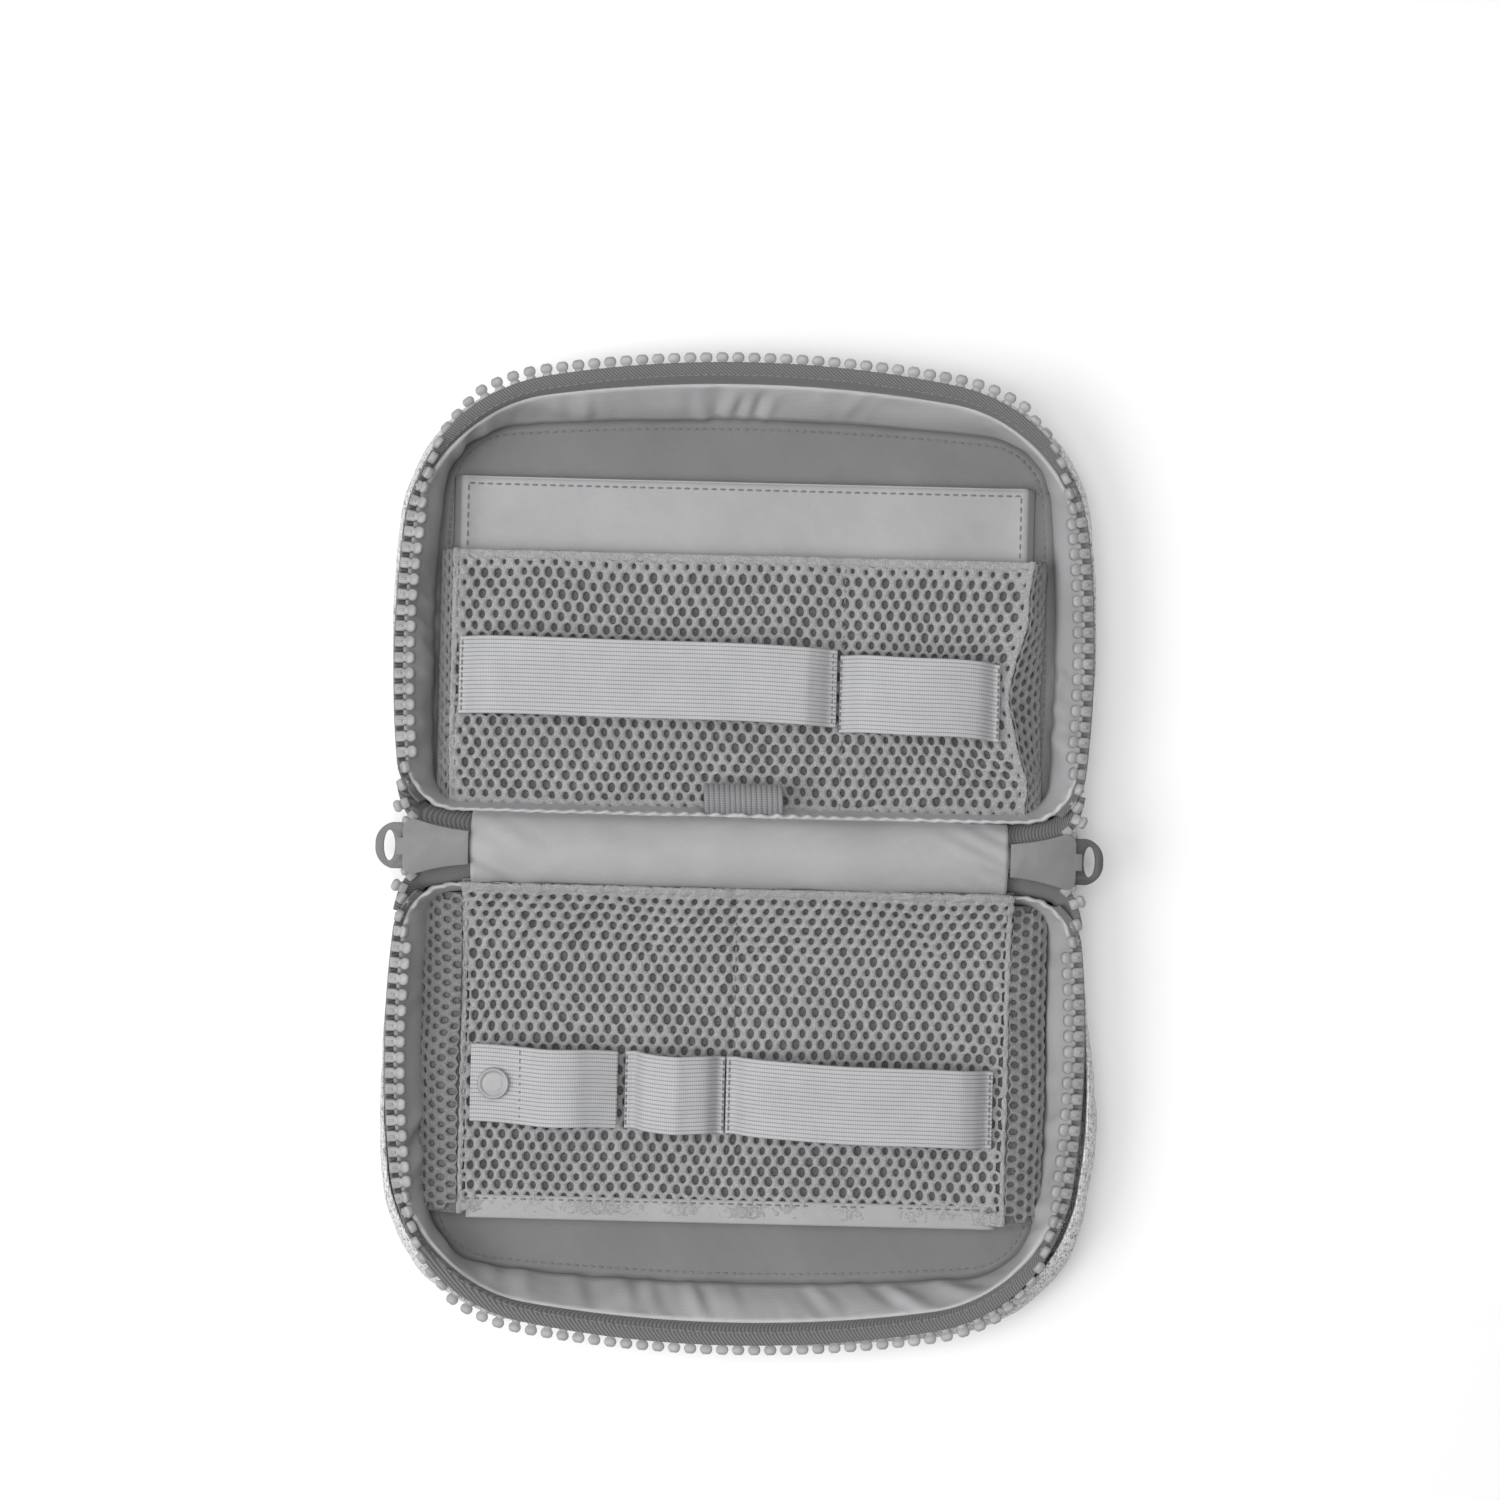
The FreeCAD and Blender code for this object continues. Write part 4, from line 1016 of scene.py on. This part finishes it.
def knit_band(name, at, lines, width, material, body, thickness=2.0):
    """A dense knitted edge: a padded strip of the given width along lines of (u, v) on a surface."""
    pieces = []
    for number, line in enumerate(lines):
        line = even(np.asarray(line, float), 200)
        ahead = np.gradient(line, axis=0)
        side = np.stack([-ahead[:, 1], ahead[:, 0]], -1)
        side /= np.linalg.norm(side, axis=1, keepdims=True)
        across = np.linspace(-0.5, 0.5, 9)
        frayed = 1 + 0.28 * ripple(line[:, 0], line[:, 1], 3.0, 67 + number)
        uv = line[:, None] + side[:, None] * (across * width)[None, :, None] * frayed[:, None, None]
        place, normal = at(uv[..., 0], uv[..., 1])
        normal = normal * (np.sign(normal[..., 2].mean()) or 1.0)
        puff = thickness / 2 * np.sqrt(np.maximum(0, 1 - (2 * across) ** 4))
        bumps = 0.34 * ripple(uv[..., 0], uv[..., 1], 2.6, 61 + number)
        top = place + normal * (puff[None] + bumps)[..., None]
        low = place - normal * (puff[None] * 0.6)[..., None]
        grid = np.concatenate([top, low[:, ::-1]], 1)
        rows, columns = grid.shape[:2]
        faces = strip_faces(rows, columns, True)
        faces += [list(range(columns)), list(range((rows - 1) * columns, rows * columns))]
        pieces.append(make(f"{name}_{number}", grid.reshape(-1, 3), faces, material, body))
    return pieces


def closed_edges(u_range, v_range, left, right, first, last):
    """How far the knit's holes are drawn shut near each edge of a panel."""

    def closed(u, v):
        near = [
            1 - smooth_step((u - u_range[0] - left * 0.5) / max(left, 0.1)),
            1 - smooth_step((u_range[1] - u - right * 0.5) / max(right, 0.1)),
            1 - smooth_step((v - v_range[0] - first * 0.5) / max(first, 0.1)),
            1 - smooth_step((v_range[1] - v - last * 0.5) / max(last, 0.1)),
        ]
        return np.max(near, axis=0)

    return closed


def back_layer(name, grid, drop, body):
    """The back face of the spacer knit, coloured darker as painted shade inside the holes."""
    up = normals(grid, False)
    up *= np.sign(up[..., 2].mean()) or 1.0
    return sheet_piece(name, grid - up * drop, 0.4, SHADED_MESH_BACK, body)


SEAM_X = -0.3


def base_pocket():
    """Spacer-mesh pocket over the base, with a seam down its middle and a gusset on each side."""
    (x0, mouth, _), (x1, _, _) = box_mm("base_mesh_front")
    top = 16.1
    path = [(-11.4, 24.6), (-15.5, 21.6), (-24.0, 17.4), (-40.0, top), (-62.0, top), (-100.0, top), (mouth, top)]
    start, length = panel_grid(x0, x1, path, 76, 50)
    x, y = start[..., 0], start[..., 1]
    start[..., 2] += 0.4 * ripple(x, y, 45, 71) + 0.35 * ripple(x, y, 15, 72)
    settled = settle(start, sewn_edges(50, 76), 0.012, frames=22, gravity=0.5)
    grid = capped(settled, start, 3.0)
    seam = np.exp(-((grid[..., 0] - SEAM_X) / 1.6) ** 2) * smooth_step((grid[..., 1] + 68) / 8)
    grid[..., 2] -= 2.0 * seam
    u_range, v_range = (x0, x1), (0.0, length)
    at = sampler(grid, u_range, v_range)
    closed = closed_edges(u_range, v_range, 2.6, 2.6, 3.0, 4.6)
    piece = perforated("base_mesh_panel", at, u_range, v_range, 1.7, MESH, "base_half", closed)
    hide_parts("base_mesh_front")
    parts = [back_layer("base_mesh_back", grid, 1.7, "base_half")]
    near = [[(x0, 1.0), (x1, 1.0)]]
    sides = [[(x0 + 1, 0), (x0 + 1, length)], [(x1 - 1, 0), (x1 - 1, length)]]
    lip = [[(x0, length - 2.3), (x1, length - 2.3)]]
    parts += knit_band("base_mesh_edge", at, near, 3.2, MESH, "base_half", 2.2)
    parts += knit_band("base_mesh_side_edge", at, sides, 1.7, MESH, "base_half", 1.6)
    parts += knit_band("base_mesh_mouth", at, lip, 4.4, MESH, "base_half", 1.7)
    turned = [(mouth + 6, top - 2.4), (mouth + 1, top - 2.3), (mouth - 1.4, top - 1.6)]
    facing, _ = panel_grid(x0 + 3, x1 - 3, turned, 60, 8)
    strip = sheet_piece("base_mouth_facing", facing, 0.5, LINING, "base_half")
    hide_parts("base_mouth_binding")
    hem, _ = at(np.linspace(x0 + 2, x1 - 2, 60), np.full(60, length - 4.6))
    middle, _ = at(np.full(30, SEAM_X), np.linspace(3, 55, 30))
    stitching("base_pocket_stitches", [(hem + UP, UP), (middle + UP, UP)], THREAD, "base_half")
    for name, sign, node in (("left", -1, "base_mesh_gusset_left"), ("right", 1, "base_mesh_gusset_right")):
        edge_x = x0 if sign < 0 else x1
        foot_x = -103.0 if sign < 0 else 101.5
        rows, columns = 12, 60
        grid = np.empty((rows, columns, 3))
        t = np.linspace(0, 1, rows)[:, None]
        y_line = np.linspace(-15.0, mouth, columns)[None]
        grid[..., 1] = y_line
        grid[..., 0] = edge_x + (foot_x - edge_x) * (t + 0.12 * np.sin(math.pi * t))
        grid[..., 2] = top + 0.4 - (top - FLOOR_Z - 1.0) * t**1.15
        cut = run_length(grid[:, 30])
        grid[..., 2] += np.sin(math.pi * t) * (1.0 + 0.8 * ripple(grid[..., 1], grid[..., 0], 24, 75 + sign))
        u_range, v_range = (0.0, abs(mouth + 15.0)), (0.0, cut)
        side_at = sampler(grid, u_range, v_range)
        piece = perforated(f"base_mesh_side_{name}", side_at, u_range, v_range, 1.4, SHADED_MESH_SIDE, "base_half")
        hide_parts(node)
        back = back_layer(f"base_mesh_side_back_{name}", grid, 1.4, "base_half")


def slip_pocket():
    """Smooth pocket flat against the lid's floor, folded down along its two sides."""
    _, mouth, top = box_mm("lid_slip_pocket")[1]
    x0, x1 = -92.4, 90.4
    path = [(25.0, 9.0), (40.0, 10.2), (80.0, 10.3), (105.0, 10.5), (mouth, top - 0.2)]
    start, length = panel_grid(x0, x1, path, 90, 50)
    start[..., 2] += 0.25 * ripple(start[..., 0], start[..., 1], 40, 81)
    settled = settle(start, sewn_edges(50, 90), 0.01, frames=20, gravity=0.4)
    grid = capped(settled, start, 1.6)
    sides = []
    for sign, foot in ((-1, -95.4), (1, 93.4)):
        edge = grid[:, 0 if sign < 0 else -1]
        steps = np.linspace(1, 0, 6)[:, None, None]
        foot_line = edge.copy()
        foot_line[:, 0], foot_line[:, 2] = foot, FLOOR_Z + 0.7
        fold = edge[None] * (1 - steps) + foot_line[None] * steps
        sides.append(fold.transpose(1, 0, 2) if sign < 0 else fold[::-1].transpose(1, 0, 2))
    grid_full = np.concatenate([sides[0][:, :-1], grid, sides[1][:, 1:]], 1)
    piece = sheet_piece("lid_slip_panel", grid_full, 0.6, LINING, "lid_half")
    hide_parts("lid_slip_pocket")
    at = sampler(grid, (x0, x1), (0.0, length))
    seams = [at(np.linspace(x0 + 1.5, x1 - 1.5, 60), np.full(60, length - 2.4))[0] + (0, 0, 0.42)]
    for x in (x0 + 1.8, x1 - 1.8):
        seams.append(at(np.full(30, x), np.linspace(60, length - 2.4, 30))[0] + (0, 0, 0.42))
    stitching("lid_slip_stitches", [(line, UP) for line in seams], THREAD, "lid_half", pitch=2.9, length=2.0)
    roll = at(np.linspace(x0, x1, 90), np.full(90, length - 0.2))[0]
    turn = np.linspace(0, 2 * math.pi, 9)[:-1]
    hem_grid = np.stack([roll + (0, 0.35 * math.cos(a), 0.5 * math.sin(a)) for a in turn], 1)
    faces = strip_faces(90, 8, True) + [list(range(8)), list(range(89 * 8, 90 * 8))]
    hem = make("lid_slip_hem", hem_grid.reshape(-1, 3), faces, LINING, "lid_half")


def lid_mesh_pocket():
    """Spacer-mesh pocket in front of the slip pocket, drawn in by the long loop on its right side."""
    x0, x1, mouth, top = -94.5, 92.6, box_mm("lid_mesh_pocket")[1][1], 17.6
    path = [(12.6, 14.2), (17.0, 13.2), (24.0, 14.9), (33.0, top), (55.0, top), (80.0, top), (mouth, top)]
    start, length = panel_grid(x0, x1, path, 80, 40)
    right = smooth_step((start[..., 0] - 40) / 50)
    drawn = np.exp(-((start[..., 1] - 52) / 19) ** 2) + 0.12 * ripple(start[..., 1], 0 * right, 14, 85)
    start[..., 0] -= 6.4 * right * drawn
    start[..., 2] += 0.35 * ripple(start[..., 0], start[..., 1], 40, 83)
    start[..., 2] += 0.3 * ripple(start[..., 0], start[..., 1], 14, 84)
    settled = settle(start, sewn_edges(40, 80), 0.012, frames=22, gravity=0.5)
    grid = capped(settled, start, 2.6)
    seam = np.exp(-((grid[..., 0] - 32.0) / 1.5) ** 2)
    grid[..., 2] -= 0.9 * seam
    u_range, v_range = (x0, x1), (0.0, length)
    at = sampler(grid, u_range, v_range)
    closed = closed_edges(u_range, v_range, 4.2, 2.6, 2.0, 4.2)
    piece = perforated("lid_mesh_panel", at, u_range, v_range, 1.7, MESH, "lid_half", closed)
    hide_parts("lid_mesh_pocket")
    parts = [back_layer("lid_mesh_back", grid, 1.7, "lid_half")]
    parts += knit_band("lid_mesh_mouth", at, [[(x0, length - 1.4), (x1, length - 1.4)]], 3.4, MESH, "lid_half", 2.0)
    parts += knit_band("lid_mesh_edge", at, [[(x0 + 1, 0), (x0 + 1, length)], [(x1 - 1, 0), (x1 - 1, length)]], 2.0,
                       MESH, "lid_half", 1.6)
    down = np.linspace(0, 1, 8)
    end = np.stack([grid[0] * (1, 1, 1 - t) + np.array([0, -0.6 * t, (FLOOR_Z + 0.8) * t]) for t in down])
    parts.append(sheet_piece("lid_mesh_end", end, 1.2, SHADED_MESH_SIDE, "lid_half"))
    line = at(np.full(40, 32.0), np.linspace(2, length - 3, 40))[0] + (0, 0, 0.9)
    stitching("lid_pocket_stitches", [(line, UP)], THREAD, "lid_half")
    for name, sign in SIDES.items():
        edge = grid[:, 0 if sign < 0 else -1]
        foot = edge.copy()
        foot[:, 0], foot[:, 2] = (-98.6 if sign < 0 else 97.2), FLOOR_Z + 1.0
        t = np.linspace(0, 1, 10)[:, None, None]
        side = edge[None] * (1 - t) + foot[None] * t
        cut = run_length(side[:, 20])
        side[..., 0] += sign * 0.9 * np.sin(math.pi * t[..., 0])
        u_range, v_range = (0.0, length), (0.0, cut)
        piece = perforated(f"lid_mesh_side_{name}", sampler(side, u_range, v_range), u_range, v_range, 1.4, SHADED_MESH_SIDE,
                           "lid_half")
        back = back_layer(f"lid_mesh_side_back_{name}", side, 1.4, "lid_half")


# ---------------------------------------------------------------- elastic and snap

BAND_SLOPE = -0.031          # the base's band falls this much to the right
LOOP_WIDTH = 25.0
LOOP_CLEAR = 0.7             # from the top of a loop's middle line to the top of its CAD solid
SEWN_OVER = {"base_elastic_small": 0.8, "base_elastic_large": 0.5}


def loop_path(node, base_z, rise, y, slope):
    """Middle line of an elastic loop: down to the mesh at both ends and bowed between."""
    low, high = box_mm(node)
    x0, x1 = low[0], high[0]
    foot = min(7.5, (x1 - x0) / 5)
    shape = [(x0, 0.0), (x0 + 2.6, 0.02), (x0 + foot, 0.62), (x0 + foot * 2.1, 0.92), ((x0 + x1) / 2, 1.0),
             (x1 - foot * 2.1, 0.92), (x1 - foot, 0.62), (x1 - 2.6, 0.02), (x1, 0.0)]
    shape.insert(0, (x0 - SEWN_OVER.get(node, 0.0), 0.0))
    return spline([(x, y + slope * (x - x0), base_z + rise * h) for x, h in shape], 90)


def elastic_loop(node, half_name, y, foot_z, slope, bow=0.0):
    """An elastic loop, sewn to the mesh by a row of tacks at each end."""
    path = loop_path(node, foot_z, box_mm(node)[1][2] - foot_z - LOOP_CLEAR, y, slope)
    body = f"{half_name}_half"
    piece = webbing(node.replace("elastic", "loop"), path, (0, LOOP_WIDTH, 0), ELASTIC, body, bow=bow)
    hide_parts(node)
    reach = LOOP_WIDTH / 2 - 1
    tacks = [(path[i] + (0, -reach, 0.75), path[i] + (0, reach, 0.75)) for i in (1, len(path) - 2)]
    stitching(f"{node}_tacks", [(line, UP) for line in tacks], THREAD, body, pitch=2.0, length=1.6)


def elastics():
    low, high = box_mm("base_elastic_large")
    band_y = (low[1] + high[1]) / 2
    strap_x = box_mm("snap_strap")[0][0]
    for node in ("base_elastic_small", "base_elastic_large"):
        y = band_y + BAND_SLOPE * (box_mm(node)[0][0] - strap_x)
        elastic_loop(node, "base", y, 17.6, BAND_SLOPE)
    for node, slope in (("lid_elastic_long", -0.012), ("lid_elastic_short", -0.03)):
        low, high = box_mm(node)
        elastic_loop(node, "lid", (low[1] + high[1]) / 2, 19.2, slope, bow=0.9)


def pen_loop():
    low, high = box_mm("pen_loop")
    centre_y = (low[1] + high[1]) / 2
    radius = (high[1] - low[1]) / 2
    centre_z = high[2] - radius
    turn = np.linspace(-0.46 * math.pi, 1.46 * math.pi, 70)
    path = [((low[0] + high[0]) / 2, centre_y + (radius - 0.5) * math.cos(a), centre_z + (radius - 0.5) * math.sin(a))
            for a in turn]
    tail = [(path[0][0], centre_y + 0.5, FLOOR_Z + 1.0), (path[0][0], centre_y + 0.5, centre_z - radius - 1.5)]
    path = spline(tail + path[::7] + [path[-1]], 90)
    piece = webbing("pen_loop_band", path, (high[0] - low[0], 0, 0), SHADED_PEN_ELASTIC, "lid_half", ribs=15, thickness=0.9,
                    rib=0.3)
    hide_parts("pen_loop")


def snap():
    """The strap, doubled at its free end under the snap's cap."""
    low, high = box_mm("snap_strap")
    cap_low, cap_high = box_mm("snap_cap")
    y = (low[1] + high[1]) / 2
    flat_z = cap_low[2] - 1.2
    top = high[2] - 0.9
    snap_x = (cap_low[0] + cap_high[0]) / 2
    points = [(low[0] + 0.5, flat_z), (snap_x + 1.0, flat_z), (snap_x + 7.5, flat_z + 0.1),
              (snap_x + 12.0, flat_z + 1.2), (snap_x + 17.0, top - 0.5), (snap_x + 21.5, top),
              (high[0] - 14.0, top - 0.5), (high[0] - 9.0, top - 3.0), (high[0] - 0.8, low[2] + 1.0)]
    path = spline([(x, y + BAND_SLOPE * (x - low[0]), z) for x, z in points], 110)
    strap = webbing("snap_strap_band", path, (0, LOOP_WIDTH, 0), ELASTIC, "snap_strap", thickness=1.6)
    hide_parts("snap_strap")
    fold_x = (low[0] + 0.4, snap_x - 1.0, snap_x + 8.0)
    under = spline([(x, y + BAND_SLOPE * (x - low[0]), flat_z - 1.1) for x in fold_x], 30)
    fold = webbing("snap_strap_fold", under, (0, 24.6, 0), ELASTIC, "snap_strap", thickness=0.8)
    hem_x = snap_x + 8.6
    hem = [(hem_x, y - 11.5, flat_z + 1.05), (hem_x - 0.35, y + 11.2, flat_z + 1.05)]
    stitching("snap_strap_hem", [(hem, (0, 0, 1))], THREAD, "snap_strap", pitch=2.3, length=1.7)
    centre = ((cap_low[0] + cap_high[0]) / 2, (cap_low[1] + cap_high[1]) / 2)
    profile = [(0.0, 1.25), (2.4, 1.22), (3.5, 1.08), (3.9, 1.3), (4.5, 1.5), (4.95, 1.3), (5.1, 0.8), (5.0, 0.2),
               (4.6, 0.0), (0.0, 0.0)]
    lathe("snap_cap_dome", profile, centre, cap_low[2] - 0.25, SNAP_METAL, "snap_strap", "snap_cap")
    rounded_copy("snap_socket_ring", "snap_socket", SNAP_METAL, "snap_strap", 0.3)
    rounded_copy("snap_stud_post", "snap_stud", SNAP_METAL, "base_half", 0.25)
    rounded_copy("snap_washer_disc", "snap_washer", SNAP_METAL, "base_half", 0.2)


def lathe(name, profile, centre, z, material, body, node):
    """A round piece from (radius, height) points, turned about a vertical axis."""
    sides = 64
    inner = spline(profile, 40)
    turn = np.linspace(0, 2 * math.pi, sides, endpoint=False)
    keep = inner[(inner[:, 0] > 0.05)]
    rows = [np.stack([centre[0] + r * np.cos(turn), centre[1] + r * np.sin(turn), np.full(sides, z + h)], -1)
            for r, h in keep]
    faces = strip_faces(len(rows), sides, True)
    faces += [list(range(sides)), list(range((len(rows) - 1) * sides, len(rows) * sides))]
    piece = make(name, np.concatenate(rows), faces, material, body)
    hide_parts(node)
    return piece


# ---------------------------------------------------------------- room

CAMERA_PLACE = (0.0026, 0.0332, 1.0)
CAMERA_LENS = 73.2
CAMERA_TURN = 1.4            # degrees about the vertical, as the pouch lies in the picture
WORLD_LIGHT = 0.22


def room():
    """Pale floor, soft light from above and a camera that looks straight down."""
    scene = bpy.context.scene
    size = 6.0
    mesh = bpy.data.meshes.new("floor")
    mesh.from_pydata([(-size, -size, 0), (size, -size, 0), (size, size, 0), (-size, size, 0)], [], [(0, 1, 2, 3)])
    floor = bpy.data.objects.new("floor", mesh)
    scene.collection.objects.link(floor)
    paper = Shader("paper")
    mesh.materials.append(paper.finish(grey(0.86), 0.9, None))
    world = bpy.data.worlds.new("studio")
    scene.world = world
    world.use_nodes = True
    world.node_tree.nodes["Background"].inputs[0].default_value = (1, 1, 1, 1)
    world.node_tree.nodes["Background"].inputs[1].default_value = WORLD_LIGHT
    lamps = [
        ("key", (-1.15, -0.3, 1.35), 1.2, 20.5),
        ("top", (-0.1, 0.1, 1.9), 1.3, 23.0),
        ("far", (0.3, 1.5, 1.2), 0.9, 4.0),
    ]
    for name, place, extent, power in lamps:
        data = bpy.data.lights.new(name, "AREA")
        data.shape = "DISK"
        data.size = extent
        data.energy = power
        lamp = bpy.data.objects.new(name, data)
        scene.collection.objects.link(lamp)
        lamp.location = place
        aim = np.array([0, 0, 0.02]) - place
        tilt, bearing = math.atan2(math.hypot(aim[0], aim[1]), -aim[2]), math.atan2(aim[0], -aim[1])
        lamp.rotation_euler = (tilt, 0, bearing + math.pi)
    data = bpy.data.cameras.new("camera")
    data.lens = CAMERA_LENS
    data.sensor_width = 36.0
    camera = bpy.data.objects.new("camera", data)
    camera.location = CAMERA_PLACE
    camera.rotation_euler = (0, 0, math.radians(CAMERA_TURN))
    scene.collection.objects.link(camera)
    scene.camera = camera
    scene.view_settings.view_transform = "Standard"


def main():
    for name, half in HALVES.items():
        shell(name, half)
        lining(name, half)
        padding(name, half)
        tape(name, half)
        teeth(name, half)
    spine()
    corners()
    sliders()
    base_pocket()
    slip_pocket()
    lid_mesh_pocket()
    elastics()
    pen_loop()
    snap()
    room()


main()
